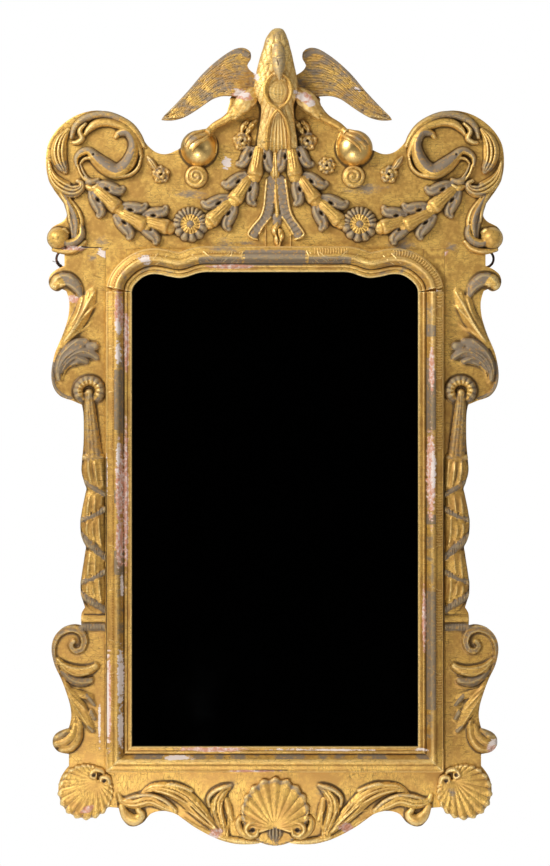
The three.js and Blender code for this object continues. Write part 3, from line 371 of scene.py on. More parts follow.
class Carving:
    """Heights in mm over the boards' faces, on an even grid, and how far inside its edge each is.

    A sheet with a board's outline keeps it, and any other grows with what is laid on it.
    """

    def __init__(self, x_span, z_span, step):
        self.step = step
        self.x0, self.z0 = x_span[0], z_span[0]
        xs = np.arange(x_span[0], x_span[1] + step, step)
        zs = np.arange(z_span[0], z_span[1] + step, step)
        self.x, self.z = np.meshgrid(xs, zs)
        self.height = np.zeros_like(self.x)
        self.inside = np.full_like(self.x, -9.0)
        self.worn = np.zeros_like(self.x)
        self.bounded = False
        self.stood_on = None

    def window(self, low_x, high_x, low_z, high_z):
        pad = 2.5 * self.step
        rows = [(low_z - pad - self.z0) / self.step, (high_z + pad - self.z0) / self.step]
        cols = [(low_x - pad - self.x0) / self.step, (high_x + pad - self.x0) / self.step]
        return (slice(max(0, int(rows[0])), max(0, int(rows[1]) + 1)),
                slice(max(0, int(cols[0])), max(0, int(cols[1]) + 1)))

    def board(self, outline, arris=1.6):
        """A flat board with that outline, its front edge rubbed round."""
        near = 3 * arris
        edge = np.full_like(self.x, near)
        ends = np.roll(outline, -1, 0)
        for (ax, az), (bx, bz) in zip(outline, ends):
            win = self.window(min(ax, bx) - near, max(ax, bx) + near,
                              min(az, bz) - near, max(az, bz) + near)
            x, z = self.x[win], self.z[win]
            dx, dz = bx - ax, bz - az
            share = np.clip(((x - ax) * dx + (z - az) * dz) / max(dx * dx + dz * dz, 1e-9), 0, 1)
            away = np.hypot(x - ax - share * dx, z - az - share * dz)
            edge[win] = np.minimum(edge[win], away)
        within = np.zeros_like(self.x, bool)
        for row in range(len(self.x)):
            z = self.z[row, 0]
            cross = (outline[:, 1] > z) != (ends[:, 1] > z)
            a, b = outline[cross], ends[cross]
            at = np.sort(a[:, 0] + (z - a[:, 1]) / (b[:, 1] - a[:, 1]) * (b[:, 0] - a[:, 0]))
            within[row] = np.searchsorted(at, self.x[row]) % 2 == 1
        self.inside = np.where(within, edge, -edge)
        self.bounded = True
        self.height -= np.where(within, np.clip(1 - edge / arris, 0, 1) ** 2 * 1.1, 1.1)

    def lay(self, points, shape=rounded, worn=0.0, add=False, foot=0.0):
        """Lays a stroke: points of x, z, half width and rise. Gives what it covered."""
        run = smooth_run(points, self.step * 0.8)
        half = np.maximum(run[:, 2], 0.3)
        reach = half.max()
        win = self.window(run[:, 0].min() - reach, run[:, 0].max() + reach,
                          run[:, 1].min() - reach, run[:, 1].max() + reach)
        x, z = self.x[win], self.z[win]
        if not x.size:
            return
        near = ((x[..., None] - run[:, 0]) ** 2 + (z[..., None] - run[:, 1]) ** 2).argmin(-1)
        ahead = np.gradient(run[:, :2], axis=0)
        ahead /= np.maximum(np.linalg.norm(ahead, axis=1), 1e-9)[:, None]
        dx, dz = x - run[near, 0], z - run[near, 1]
        forward = dx * ahead[near, 0] + dz * ahead[near, 1]
        aside = dz * ahead[near, 0] - dx * ahead[near, 1]
        tip = (near == 0) | (near == len(run) - 1)
        radial = np.where(tip, np.hypot(aside, forward), np.abs(aside)) / half[near]
        travel = np.append(0, np.cumsum(np.linalg.norm(np.diff(run[:, :2], axis=0), axis=1)))
        along = travel[near] + np.where(tip, 0, forward)
        across = np.clip(np.copysign(radial, aside), -1, 1)
        level = foot + run[near, 3] * shape(across, along, along / travel[-1])
        hit = radial < 1
        here = self.height[win]
        risen = here + level - foot if add else np.maximum(here, level)
        if worn is not None:
            dull = worn(across, along / travel[-1]) if callable(worn) else worn
            self.worn[win] = np.where(hit & (risen != here), dull, self.worn[win])
        self.height[win] = np.where(hit, risen, here)
        if not add and not self.bounded:
            self.inside[win] = np.maximum(self.inside[win], (1 - radial) * half[near])

    def cut(self, points, shape=soft_ridge):
        """A groove or gouge cut: points of x, z, half width and depth."""
        self.lay([(x, z, half, -deep) for x, z, half, deep in points], shape, None, add=True)

    def mound(self, centre, radius, shape, worn=None, over=True):
        """A round form: shape takes the share of the radius and the turn, and gives a height."""
        reach = radius * 1.02
        win = self.window(centre[0] - reach, centre[0] + reach, centre[1] - reach, centre[1] + reach)
        dx, dz = self.x[win] - centre[0], self.z[win] - centre[1]
        share, turn = np.hypot(dx, dz) / radius, np.arctan2(dz, dx)
        level, rim = shape(share, turn)
        hit = share < rim
        here = self.height[win]
        risen = np.maximum(here, level) if over else here + level
        if worn is not None:
            self.worn[win] = np.where(hit & (risen != here), worn(share, turn), self.worn[win])
        self.height[win] = np.where(hit, risen, here)
        if over:
            self.inside[win] = np.maximum(self.inside[win], (rim - share) * radius)

    def drill(self, centre, radius, deep):
        """A round hole, with no gold in it."""
        self.mound(centre, radius, lambda share, turn: (-deep * (1 - share**2), 1),
                   lambda share, turn: 1.0, False)

    def blurred(self, field, reach):
        """The field averaged over a square of about that reach, twice."""
        size = max(1, int(round(reach / self.step)))
        out = field
        for _ in range(2):
            for axis in (0, 1):
                padded = np.pad(out, [(size, size) if a == axis else (0, 0) for a in (0, 1)], "edge")
                total = np.cumsum(padded, axis)
                total = np.insert(total, 0, 0, axis)
                span = 2 * size + 1
                if axis == 0:
                    out = (total[span:] - total[:-span]) / span
                else:
                    out = (total[:, span:] - total[:, :-span]) / span
        return out

    def sample(self, field, x, z):
        col = np.clip((x - self.x0) / self.step, 0, field.shape[1] - 1.001)
        row = np.clip((z - self.z0) / self.step, 0, field.shape[0] - 1.001)
        c, r = col.astype(int), row.astype(int)
        u, v = col - c, row - r
        return ((field[r, c] * (1 - u) + field[r, c + 1] * u) * (1 - v)
                + (field[r + 1, c] * (1 - u) + field[r + 1, c + 1] * u) * v)

    def pair(self, name, slot="gilt_pine", base=GLUED, middle=0.0, soften=0.6):
        """The right-hand piece and its mirrored fellow."""
        self.solid(name + "_right", slot, base, None, soften)
        self.solid(name + "_left", slot, base, middle, soften)

    def solid(self, node, slot="gilt_pine", base=GLUED, mirror_at=None, soften=0.6):
        """A closed mesh between the base plane and the heights, gilt with a bare back."""
        standing.append((self, mirror_at))
        height = self.height if soften <= 0 else (
            (1 - soften) * self.height + soften * self.blurred(self.height, self.step * 0.6))
        f = self.inside
        cells = (f[:-1, :-1] + f[1:, :-1] + f[:-1, 1:] + f[1:, 1:]) > 0
        for _ in range(3):  # no two cells may meet at a single corner
            a, b, c, d = cells[:-1, :-1], cells[:-1, 1:], cells[1:, :-1], cells[1:, 1:]
            pinch = (a & d & ~b & ~c) | (b & c & ~a & ~d)
            for part in (a, b, c, d):
                part |= pinch
        pads = np.pad(cells, 1)
        around = [pads[:-1, :-1], pads[:-1, 1:], pads[1:, :-1], pads[1:, 1:]]
        touched = around[0] | around[1] | around[2] | around[3]
        border = touched & ~(around[0] & around[1] & around[2] & around[3])
        gz, gx = np.gradient(f, self.step)
        slope = np.maximum(np.hypot(gx, gz), 0.3)
        shift = np.clip(-f / slope, -0.8 * self.step, 0.8 * self.step)
        x = np.where(border, self.x + shift * gx / slope, self.x)
        z = np.where(border, self.z + shift * gz / slope, self.z)
        index = np.full(f.shape, -1)
        index[touched] = np.arange(touched.sum())
        px, pz = x[touched], z[touched]
        ph = self.sample(height, px, pz)
        # Ridges and hollows of the heights: ridges are painted paler, as rubbing and painted highlight, and
        # hollows darker, as dirt and painted shade.
        ridge = np.clip((height - self.blurred(height, 2.6)) / 2.2, -1, 1)
        # Round what stands on a board, its value is forced into hollow: painted shade there, with dirt.
        if self.stood_on is not None:
            ridge = np.minimum(ridge, -np.clip(self.blurred(self.stood_on, 3.0) / 7, 0, 1))
        pr, pw = self.sample(ridge, px, pz), self.sample(self.worn, px, pz)
        row, col = np.nonzero(cells)
        quads = np.stack([index[row, col], index[row, col + 1],
                          index[row + 1, col + 1], index[row + 1, col]], 1)
        edges = {}
        for step_r, step_c, one, two in ((-1, 0, 0, 1), (0, 1, 1, 2), (1, 0, 2, 3), (0, -1, 3, 0)):
            beside = pads[row + 1 + step_r, col + 1 + step_c]
            for q in np.flatnonzero(~beside):
                edges[int(quads[q, one])] = int(quads[q, two])
        foot_of = {v: len(px) + i for i, v in enumerate(edges)}
        ring = np.array(list(edges), int)
        sign = -1 if mirror_at is not None else 1
        offset = 2 * mirror_at if mirror_at is not None else 0
        front = np.stack([sign * px + offset, np.minimum(FACE - ph, base - 0.4), pz], 1)
        foot = np.stack([front[ring, 0], np.full(len(ring), base), front[ring, 2]], 1)
        walls = [(b, a, foot_of[a], foot_of[b]) for a, b in edges.items()]
        faces = quads.tolist() + walls
        if mirror_at is not None:
            faces = [face[::-1] for face in faces]
        mesh = bpy.data.meshes.new(node + "_carved")
        mesh.from_pydata((np.vstack([front, foot]) * MM).tolist(), [], faces)
        body = bmesh.new()
        body.from_mesh(mesh)
        open_edges = [e for e in body.edges if e.is_boundary]
        filled = bmesh.ops.triangle_fill(body, use_beauty=True, edges=open_edges, normal=(0, 1, 0))
        for item in filled["geom"]:
            if isinstance(item, bmesh.types.BMFace):
                item.material_index = 1
                item.normal_update()
                if item.normal.y < 0:
                    item.normal_flip()
        body.to_mesh(mesh)
        body.free()
        obj = finished(mesh, ("water_gilding", "aged_pine"))
        pad = np.zeros(len(ring))
        weather(obj, np.append(pr, pad), np.append(pw, pad))
        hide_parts(node)


def finished(mesh, finishes, body="frame", sharp=48):
    """A mesh made a shaded piece of its name that rides on a body of the frame."""
    for finish in finishes:
        mesh.materials.append(material(finish))
    mesh.shade_smooth()
    if sharp:
        mesh.set_sharp_from_angle(angle=math.radians(sharp))
    obj = bpy.data.objects.new(mesh.name, mesh)
    bpy.context.scene.collection.objects.link(obj)
    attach(obj, body)
    return obj


# ---------------------------------------------------------------- materials

# The kinds of node: type, settings, the inputs filled in order, and the output read, or None
# where the node itself is wanted.
NODES = {
    "places": ("ShaderNodeTexCoord", {}, (), "Object"),
    "stretched": ("ShaderNodeMapping", {}, ("Vector", "Scale"), 0),
    "y": ("ShaderNodeSeparateXYZ", {}, (0,), "Y"),
    "z": ("ShaderNodeSeparateXYZ", {}, (0,), "Z"),
    "normals": ("ShaderNodeNewGeometry", {}, (), "Normal"),
    "given wear": ("ShaderNodeAttribute", {}, (), "Fac"),
    "noise": ("ShaderNodeTexNoise", {}, ("Vector", "Scale", "Detail", "Roughness"), 0),
    "waves": ("ShaderNodeTexWave", {"wave_type": "BANDS"}, ("Vector", "Scale", "Distortion", "Detail"),
              "Fac"),
    "cells": ("ShaderNodeTexVoronoi", {"feature": "DISTANCE_TO_EDGE"}, ("Vector", "Scale"), "Distance"),
    "plus": ("ShaderNodeMath", {"operation": "ADD"}, (0, 1), 0),
    "minus": ("ShaderNodeMath", {"operation": "SUBTRACT"}, (0, 1), 0),
    "times": ("ShaderNodeMath", {"operation": "MULTIPLY"}, (0, 1), 0),
    "larger": ("ShaderNodeMath", {"operation": "MAXIMUM"}, (0, 1), 0),
    # A value, taken from 0 to 1 between two others, evenly or with soft ends.
    "range": ("ShaderNodeMapRange", {}, (0, 1, 2, 3, 4), 0),
    "smooth": ("ShaderNodeMapRange", {"interpolation_type": "SMOOTHSTEP"}, (0, 1, 2), 0),
    # A share, the value or colour under it, and the one that covers that as far as it says.
    "either": ("ShaderNodeMix", {"data_type": "FLOAT"}, (0, 2, 3), 0),
    "cover": ("ShaderNodeMix", {"data_type": "RGBA"}, (0, 6, 7), 2),
    "shade": ("ShaderNodeMix", {"data_type": "RGBA", "blend_type": "MULTIPLY"}, (0, 6, 7), 2),
    "bump": ("ShaderNodeBump", {}, ("Height", "Distance", "Strength"), 0),
    "solid": ("ShaderNodeBsdfPrincipled", {}, ("Base Color", "Metallic", "Roughness", "Normal"), 0),
    "matt": ("ShaderNodeBsdfDiffuse", {}, ("Color",), 0),
    "surface": ("ShaderNodeOutputMaterial", {}, ("Surface",), None),
    "rays": ("ShaderNodeLightPath", {}, (), None),
    "light": ("ShaderNodeBackground", {}, ("Color", "Strength"), 0),
    "sky": ("ShaderNodeOutputWorld", {}, ("Surface",), None),
    "given": ("NodeGroupInput", {}, (), None),
    "object": ("GeometryNodeObjectInfo", {}, ("Object",), "Geometry"),
    "curve": ("GeometryNodeMeshToCurve", {}, (0,), 0),
    "even": ("GeometryNodeResampleCurve", {"mode": "LENGTH"}, ("Curve", "Length"), 0),
    "circle": ("GeometryNodeCurvePrimitiveCircle", {}, ("Resolution", "Radius"), 0),
    "normal up": ("GeometryNodeSetCurveNormal", {"mode": "Z_UP"}, ("Curve",), 0),
    "swept": ("GeometryNodeCurveToMesh", {}, (0, 1, "Fill Caps"), 0),
    "tangent": ("GeometryNodeInputTangent", {}, (), 0),
    "turned along": ("FunctionNodeAlignRotationToVector", {"axis": "X", "pivot_axis": "Z"},
                     ("Vector",), 0),
    "copies": ("GeometryNodeInstanceOnPoints", {}, ("Points", "Instance", "Rotation"), 0),
    "joined": ("GeometryNodeJoinGeometry", {}, (0, 0, 0), 0),
    "real": ("GeometryNodeRealizeInstances", {}, ("Geometry",), 0),
    "finished": ("GeometryNodeSetMaterial", {}, ("Geometry", "Material"), 0),
    "group result": ("NodeGroupOutput", {}, (0,), None),
}


def add_node(tree, kind, *values, **settings):
    """Adds a node of a kind, with settings, and fills its inputs or links them in order."""
    type_name, usual, inputs, output = NODES[kind]
    node = tree.nodes.new(type_name)
    for key, value in {**usual, **settings}.items():
        setattr(node, key, value)
    for key, value in zip(inputs, values):
        if isinstance(value, bpy.types.NodeSocket):
            tree.links.new(value, node.inputs[key])
        else:
            node.inputs[key].default_value = value
    return node if output is None else node.outputs[output]


def in_mm(add, *pattern):
    """Places in mm, divided by the size of a pattern, or by one size for each axis."""
    return add("stretched", add("places"), [1000 / size for size in (pattern * 3)[:3]])


def gilding(add, c, burnished=False):
    """Water gilding: leaf laid over red bole and chalk gesso on carved pine, rubbed and dirty.

    Gives a mottled, half-metal ochre gold, pale on ridges (rubbed leaf and painted highlight),
    brown in hollows (dirt and painted shade), with grey-brown places where the leaf has gone,
    and losses down to the red and the white. Where burnished, the leaf is smooth and mirrors
    what stands round it.
    """
    relief, worn, bole, gesso, crack = (
        add("given wear", attribute_name=name) for name in ("relief", "worn", "bole", "gesso", "crack"))
    # Patches of handling about 40 mm across, and mottling of the leaf at 5 mm.
    broad = add("noise", in_mm(add, 42), 1.0, 2.0)
    mottle = add("noise", in_mm(add, 6), 1.0, 4.0, 0.62)
    fine = add("noise", in_mm(add, 2.2), 1.0, 3.0)
    # What makes the edges of worn places ragged.
    rag = add("minus", add("noise", in_mm(add, 13, 13, 6), 1.0, 5.0, 0.7), 0.5)
    tone = add("plus", add("times", broad, 0.55), add("times", mottle, 0.45))
    leaf_gold = add("cover", add("smooth", tone, 0.36, 0.64), c.deep_gold, c.gold)
    # Painted highlight, with rubbing: ridges are painted pale gold.
    high = add("smooth", add("plus", relief, add("times", rag, 0.6)), 0.22, 0.80)
    leaf_gold = add("cover", add("times", high, 0.7), leaf_gold, c.bright_gold_and_highlight)
    if burnished:
        leaf_gold = add("cover", 0.45, leaf_gold, c.bright_gold_and_highlight)
    # Painted shade, with dirt: hollows are painted dark brown.
    deep = add("smooth", add("plus", add("times", relief, -1), add("times", rag, 0.35)), 0.12, 0.62)
    leaf_gold = add("cover", add("times", deep, 0.86), leaf_gold, c.dirt_and_shade)
    # Cracks run level in the upright boards, about 5 mm apart, and upright in the apron.
    height = add("z", in_mm(add, 1))

    def cracked(across, along):
        cells = add("cells", in_mm(add, across, 14, along), 1.0)
        long, short = 2.5 * max(across, along), 0.55 * min(across, along)
        size = (long, 20, short) if across > along else (short, 20, long)
        streak = add("smooth", add("noise", in_mm(add, *size), 1.0, 2.0), 0.56, 0.72)
        return add("plus", add("smooth", cells, 0.06, 0.0), add("times", streak, 0.6))

    lines = add("either", add("smooth", height, -452.0, -464.0), cracked(13, 5), cracked(5, 13))
    lines = add("times", lines, add("smooth", broad, 0.36, 0.60))
    leaf_gold = add("cover", add("times", lines, 0.0 if burnished else 0.52), leaf_gold, c.dirt_and_shade)
    rubbed = add("smooth", add("plus", worn, add("times", rag, 0.9)), 0.36, 0.66)
    worn_tone = add("cover", add("smooth", mottle, 0.50, 0.72), c.worn, c.deep_gold)
    # On the worn ground too: painted shade in hollows, then painted highlight on ridges.
    worn_tone = add("cover", add("times", deep, 0.7), worn_tone, c.dirt_and_shade)
    worn_tone = add("cover", add("times", high, 0.22), worn_tone, c.bright_gold_and_highlight)
    surface = add("cover", rubbed, leaf_gold, worn_tone)
    # The long sides, which hands reach, are a little darker than the crest and the apron.
    handled = add("times", add("smooth", height, 400.0, 120.0), add("smooth", height, -465.0, -425.0))
    surface = add("shade", handled, surface, c.handling)
    red = add("smooth", add("plus", bole, add("times", rag, 1.1)), 0.48, 0.60)
    red_tone = add("cover", add("smooth", mottle, 0.4, 0.7), c.bole, c.gesso)
    surface = add("cover", red, surface, red_tone)
    white = add("smooth", add("plus", gesso, add("times", rag, 1.5)), 0.53, 0.60)
    surface = add("cover", white, surface, c.gesso)
    surface = add("cover", add("smooth", crack, 0.35, 0.8), surface, c.dirt_and_shade)
    bare = add("larger", red, white)
    dull = add("larger", bare, add("times", rubbed, 0.75))
    metallic = add("range", dull, 0.0, 1.0, 0.96 if burnished else 0.5, 0.0)
    rough = add("range", add("plus", mottle, dull), 0.3, 1.4, 0.26 if burnished else 0.42, 0.72)
    grain = add("plus", add("times", fine, 0.4), add("times", lines, -0.5))
    grain = add("plus", grain, add("times", bare, -0.6))
    grain = add("plus", grain, add("times", mottle, 0.8))
    return add("solid", surface, metallic, rough, add("bump", grain, 0.0006, 0.1 if burnished else 0.6))


def bare_pine(add, c, level=False):
    """Bare pine, sawn and planed, brown with age: rings as long streaks, and dust in the pores.

    The grain runs upright, or level for boards that lie across.
    """
    def grain(width, length):
        return in_mm(add, length, width, width) if level else in_mm(add, width, width, length)

    rings = add("waves", grain(52, 900), 1.0, 14.0, 3.0, bands_direction="Z" if level else "X")
    streak = add("noise", grain(1.6, 60), 1.0, 3.0)
    share = add("plus", add("times", rings, 0.5), add("times", streak, 0.5))
    wood = add("cover", add("smooth", share, 0.38, 0.86), c.pine, c.pine_dark)
    dusty = add("smooth", add("noise", grain(60, 320), 1.0, 2.0), 0.55, 0.8)
    wood = add("cover", dusty, wood, c.dirt_and_shade)
    return add("solid", wood, 0.0, 0.86, add("bump", streak, 0.0005, 0.5))


def gilt_fronted_pine(add, c):
    """Carcass wood: bare pine, with thin dirty gold on the face that shows between mouldings."""
    mottle = add("noise", in_mm(add, 8), 1.0, 4.0)
    leaf_gold = add("cover", add("smooth", mottle, 0.36, 0.64), c.deep_gold, c.gold)
    wood = add("cover", add("noise", in_mm(add, 1.6, 1.6, 60), 1.0, 3.0), c.pine, c.pine_dark)
    front = add("smooth", add("y", add("normals")), -0.4, -0.6)
    return add("solid", add("cover", front, wood, leaf_gold), add("times", front, 0.5), 0.5,
               add("bump", mottle, 0.0004, 0.5))


def silvered_glass(add, c):
    """Old plate glass silvered behind: a grey, slightly dim mirror with foxing near its edges."""
    spots = add("smooth", add("noise", in_mm(add, 26), 1.0, 6.0, 0.65), 0.66, 0.76)
    rough = add("range", add("noise", in_mm(add, 90), 1.0, 3.0), 0.35, 0.75, 0.02, 0.06)
    wave = add("noise", in_mm(add, 130), 1.0, 1.0)
    return add("solid", add("cover", spots, c.silver, c.dirt_and_shade), 1.0, rough,
               add("bump", wave, 0.0002, 0.1))


def wrought_iron(add, c):
    """Wrought iron, forged and dark with age: near black scale with brown rust in patches."""
    blotch = add("noise", in_mm(add, 5), 1.0, 5.0)
    rusty = add("smooth", blotch, 0.5, 0.62)
    pits = add("noise", in_mm(add, 1.2), 1.0, 3.0)
    return add("solid", add("cover", rusty, c.iron, c.rust), add("range", rusty, 0.0, 1.0, 0.8, 0.1),
               add("range", blotch, 0.3, 0.7, 0.45, 0.85), add("bump", pits, 0.0003, 0.5))


def painted_floor(add, c):
    """White floor paint, a little uneven."""
    speck = add("noise", in_mm(add, 400), 1.0)
    return add("solid", add("cover", speck, hex_colour(0xF2F1EF), hex_colour(0xFAF9F8)), 0.0, 0.8)


def black_velvet(add, c):
    """Black velvet, which gives the plate something dark to mirror."""
    nap = add("noise", in_mm(add, 30), 1.0)
    return add("matt", add("cover", nap, hex_colour(0x050505), hex_colour(0x0A0A0A)))


RECIPES = {
    "water_gilding": gilding, "burnished_gilding": partial(gilding, burnished=True),
    "aged_pine": bare_pine, "aged_level_pine": partial(bare_pine, level=True),
    "gilt_fronted_pine": gilt_fronted_pine, "silvered_plate": silvered_glass,
    "wrought_iron": wrought_iron, "painted_floor": painted_floor, "black_velvet": black_velvet,
}
made_materials = {}


def material(name):
    """The material of that name, made when it is first asked for."""
    if name not in made_materials:
        made = bpy.data.materials.new(name)
        made.use_nodes = True
        made.node_tree.nodes.clear()
        add = partial(add_node, made.node_tree)
        add("surface", RECIPES[name](add, bpy.context.scene.wall_mirror_colours))
        made_materials[name] = made
    return made_materials[name]


# ---------------------------------------------------------------- boards

# Carving cut in the plank of a side board, drawn for the right: points of x, z, half width
# and rise. First the bodies, each with its section and how worn it is.
SIDE_BODIES = [
    # Upper spur, a rolled leaf.
    (rounded, 0.75, [(350, 384, 5, 4), (357, 399, 10, 9), (370, 411, 12, 12), (383, 414, 11, 12)]),
    (rounded, 0.25, [(378, 412, 11, 11), (390, 409, 13, 14), (397, 402, 9, 11)]),
    # Upright acanthus over the bulge.
    (rounded, 0.0, [(384, 291, 3, 2), (372, 308, 9, 6), (355, 336, 14, 8), (341, 362, 14, 7),
        (330, 386, 9, 4), (326, 396, 3, 2)]),
    (rounded, 0.0, [(362, 330, 7, 4), (352, 356, 8, 6), (346, 378, 7, 4)]),
    # The worn leaf that turns back over it, with scalloped tips.
    (rounded, 0.8, [(390, 232, 4, 4), (389, 254, 8, 7), (376, 277, 12, 9), (357, 294, 12, 9),
        (342, 299, 8, 6)]),
    (rounded, 0.8, [(384, 250, 6, 5), (370, 270, 10, 8), (350, 281, 11, 9), (332, 279, 9, 8),
        (321, 272, 6, 5)]),
    (rounded, 0.85, [(334, 292, 8, 7), (325, 292, 8, 8)]),
    (rounded, 0.75, [(366, 262, 6, 6), (350, 268, 8, 8), (340, 265, 6, 6)]),
    # Worn lip along the bulge.
    (soft_ridge, 0.75, [(399, 262, 3, 2), (401, 240, 4, 3), (396, 217, 4, 3), (383, 204, 4, 3),
        (366, 198, 3, 2)]),
    # Drapery: the fall from its hoop, then three pinched swags.
    (ribbed(4, 0.4), 0.5, [(334.5, 208, 8, 12), (333, 180, 10, 11), (330, 140, 12.5, 10),
        (327, 100, 15, 9), (327, 88, 17, 9)]),
    (ribbed(3, 0.25), 0.2, [(325, 86, 19, 8), (325, 66, 21, 11), (321, 42, 18, 8), (318, 32, 13, 5)]),
    (ribbed(3, 0.25), 0.2, [(322, 32, 14, 6), (326, 6, 20, 9), (327, -30, 22, 11), (323, -58, 18, 8),
        (317, -72, 12, 4)]),
    (ribbed(3, 0.25), 0.2, [(320, -70, 14, 6), (325, -104, 20, 9), (326, -138, 22, 11), (322, -166, 18, 8),
        (317, -178, 12, 4)]),
    # Diagonal hems.
    (rounded, 0.75, [(346, -20, 6, 10), (328, -14, 6.5, 12), (306, -1, 6, 10)]),
    (rounded, 0.85, [(347, -50, 7.5, 9), (330, -66, 8, 12), (306, -88, 7, 7)]),
    (rounded, 0.8, [(346, -132, 6, 10), (328, -126, 6.5, 12), (306, -114, 6, 10)]),
    (rounded, 0.85, [(346, -155, 7, 9), (328, -168, 7.5, 12), (306, -182, 6.5, 6)]),
    (rounded, 0.7, [(340, 48, 5.5, 7), (324, 36, 6.5, 9), (306, 25, 5, 6)]),
    (rounded, 0.5, [(344, 92, 5, 8), (327, 91, 5.5, 9), (311, 92, 4, 7)]),
    # Block under the drapery.
    (rounded, 0.2, [(346, -199, 6, 4), (306, -199, 6, 4)]),
    (rounded, 0.85, [(346, -213, 7, 6), (306, -213, 7, 6)]),
    # Scroll: its band runs round the outside and winds into the eye.
    (coved, 0.55, [(391, -292, 3, 4), (399, -270, 5, 6), (400, -246, 6, 8), (389, -225, 6.5, 9),
        (368, -216, 6.5, 10), (350, -222, 6, 10), (343, -238, 5.5, 10), (348, -253, 5, 10),
        (360, -256, 4.5, 10), (367, -247, 4, 10), (362, -239, 3.5, 9)]),
    # Leaf curling out of the scroll.
    (rounded, 0.35, [(391, -272, 4, 4), (377, -286, 9, 8), (357, -293, 11, 9), (336, -291, 9, 8),
        (322, -284, 6, 7)]),
    (rounded, 0.6, [(384, -292, 4, 4), (368, -306, 8, 8), (350, -312, 9, 8), (332, -309, 6, 6)]),
    (rounded, 0.0, [(382, -306, 3, 3), (371, -330, 9, 6), (356, -352, 12, 6), (340, -378, 9, 4),
        (327, -402, 3, 2)]),
    (rounded, 0.0, [(374, -322, 4, 3), (352, -334, 7, 5), (330, -340, 5, 3)]),
    (rounded, 0.75, [(339, -337, 5, 5), (331, -346, 4, 5), (325, -354, 3, 3)]),
    (rounded, 0.65, [(331, -366, 4, 5), (325, -378, 4, 4)]),
    (rounded, 0.65, [(336, -392, 4, 4), (328, -400, 4, 4)]),
    # Lower spur, four curved lobes.
    (rounded, 0.1, [(352, -384, 4, 3), (354, -410, 8, 8), (366, -428, 9, 10), (382, -432, 8, 9)]),
    (rounded, 0.35, [(360, -390, 4, 4), (366, -409, 8, 10), (380, -420, 9, 12), (393, -423, 7, 9)]),
    (rounded, 0.5, [(372, -399, 5, 6), (384, -408, 7, 10), (394, -413, 6, 8)]),
]
# Then thin ridges that stand on them, all with one rounded section.
SIDE_RIDGES = [
    [(389, 396, 2, 3), (381, 402, 3, 4), (371, 402, 3, 4), (361, 396, 2.5, 3), (353, 386, 2, 2)],
    [(399, 405, 2, 2), (388, 416, 3, 3), (374, 419, 3, 3), (362, 412, 2.5, 3)],
    [(377, 302, 2, 2), (359, 328, 3, 5), (342, 358, 3.2, 5), (331, 379, 3, 4), (324, 391, 2, 2)],
    [(366, 332, 2, 2), (358, 344, 2.6, 4), (352, 358, 2.8, 4), (346, 378, 2.4, 3)],
    [(372, 306, 2, 2), (359, 322, 3, 5), (344, 344, 3, 5), (328, 361, 2.8, 4), (320, 368, 2, 2)],
    [(372, 303, 2, 2), (355, 316, 2.6, 4), (340, 326, 2.6, 4), (331, 334, 2, 2)],
    [(380, 300, 2, 2), (364, 322, 2.4, 4), (350, 346, 2.4, 4), (338, 374, 2.4, 3), (335, 390, 2, 2)],
    [(392, 234, 1.8, 3), (392, 254, 2, 4), (384, 276, 2, 4), (370, 291, 2, 4), (355, 303, 2, 3)],
    [(390, 230, 1.8, 3), (388, 252, 2, 4), (378, 270, 2, 5), (363, 282, 2, 5), (345, 291, 2, 4)],
    [(388, 228, 1.8, 3), (385, 251, 2, 4), (375, 266, 2, 5), (360, 278, 2, 5), (342, 282, 2, 5),
        (320, 270, 1.8, 3)],
    [(386, 228, 1.8, 3), (382, 248, 2, 4), (372, 262, 2, 5), (358, 271, 2, 5), (340, 264, 1.8, 4)],
    [(384, 228, 1.8, 3), (378, 246, 2, 4), (369, 256, 2, 4), (356, 262, 1.8, 3)],
    [(336, 84, 3, 4), (335, 66, 4, 5), (331, 46, 3, 3)],
    [(324, 84, 3, 4), (322, 62, 4, 5), (319, 42, 3, 3)],
    [(313, 84, 3, 3), (311, 60, 3, 4), (309, 40, 2.5, 3)],
    [(334, 22, 3, 3), (337, 2, 4, 4), (338, -14, 3, 3)],
    [(323, 24, 3, 3), (325, 0, 3.6, 5), (326, -10, 3, 3)],
    [(312, 20, 2.6, 3), (313, 6, 3, 3)],
    [(338, -27, 3, 3), (339, -40, 4, 5), (336, -53, 3, 3)],
    [(327, -24, 3, 3), (327, -42, 4, 5), (324, -56, 3, 3)],
    [(316, -18, 3, 3), (315, -44, 3.6, 4), (312, -66, 3, 3)],
    [(333, -82, 3, 3), (336, -104, 4, 4), (337, -124, 3, 3)],
    [(322, -80, 3, 3), (324, -104, 3.6, 5), (325, -118, 3, 3)],
    [(338, -139, 3, 3), (338, -148, 4, 5), (336, -156, 3, 3)],
    [(327, -136, 3, 3), (326, -148, 4, 5), (323, -160, 3, 3)],
    [(316, -128, 3, 3), (315, -148, 3.6, 4), (312, -168, 3, 3)],
    [(391, -271, 2, 3), (376, -282, 2.2, 4), (357, -287, 2.2, 4), (336, -286, 2, 3), (322, -279, 2, 3)],
    [(387, -279, 2, 3), (374, -292, 2.2, 4), (356, -300, 2.2, 4), (335, -297, 2, 3)],
    [(382, -292, 2, 3), (369, -305, 2.2, 4), (350, -313, 2.2, 4), (328, -312, 2, 3)],
    [(379, -310, 1.8, 3), (363, -321, 2, 3), (342, -323, 2, 3), (326, -318, 1.6, 2)],
    [(374, -326, 1.8, 3), (356, -346, 2, 4), (330, -372, 1.8, 2)],
    [(372, -336, 1.8, 3), (358, -357, 2, 4), (338, -390, 2, 3), (327, -404, 1.6, 2)],
    [(369, -346, 1.8, 2), (362, -366, 2, 3), (345, -394, 1.8, 2)],
    [(378, -318, 1.8, 2), (360, -334, 2, 3), (340, -356, 1.8, 2)],
]

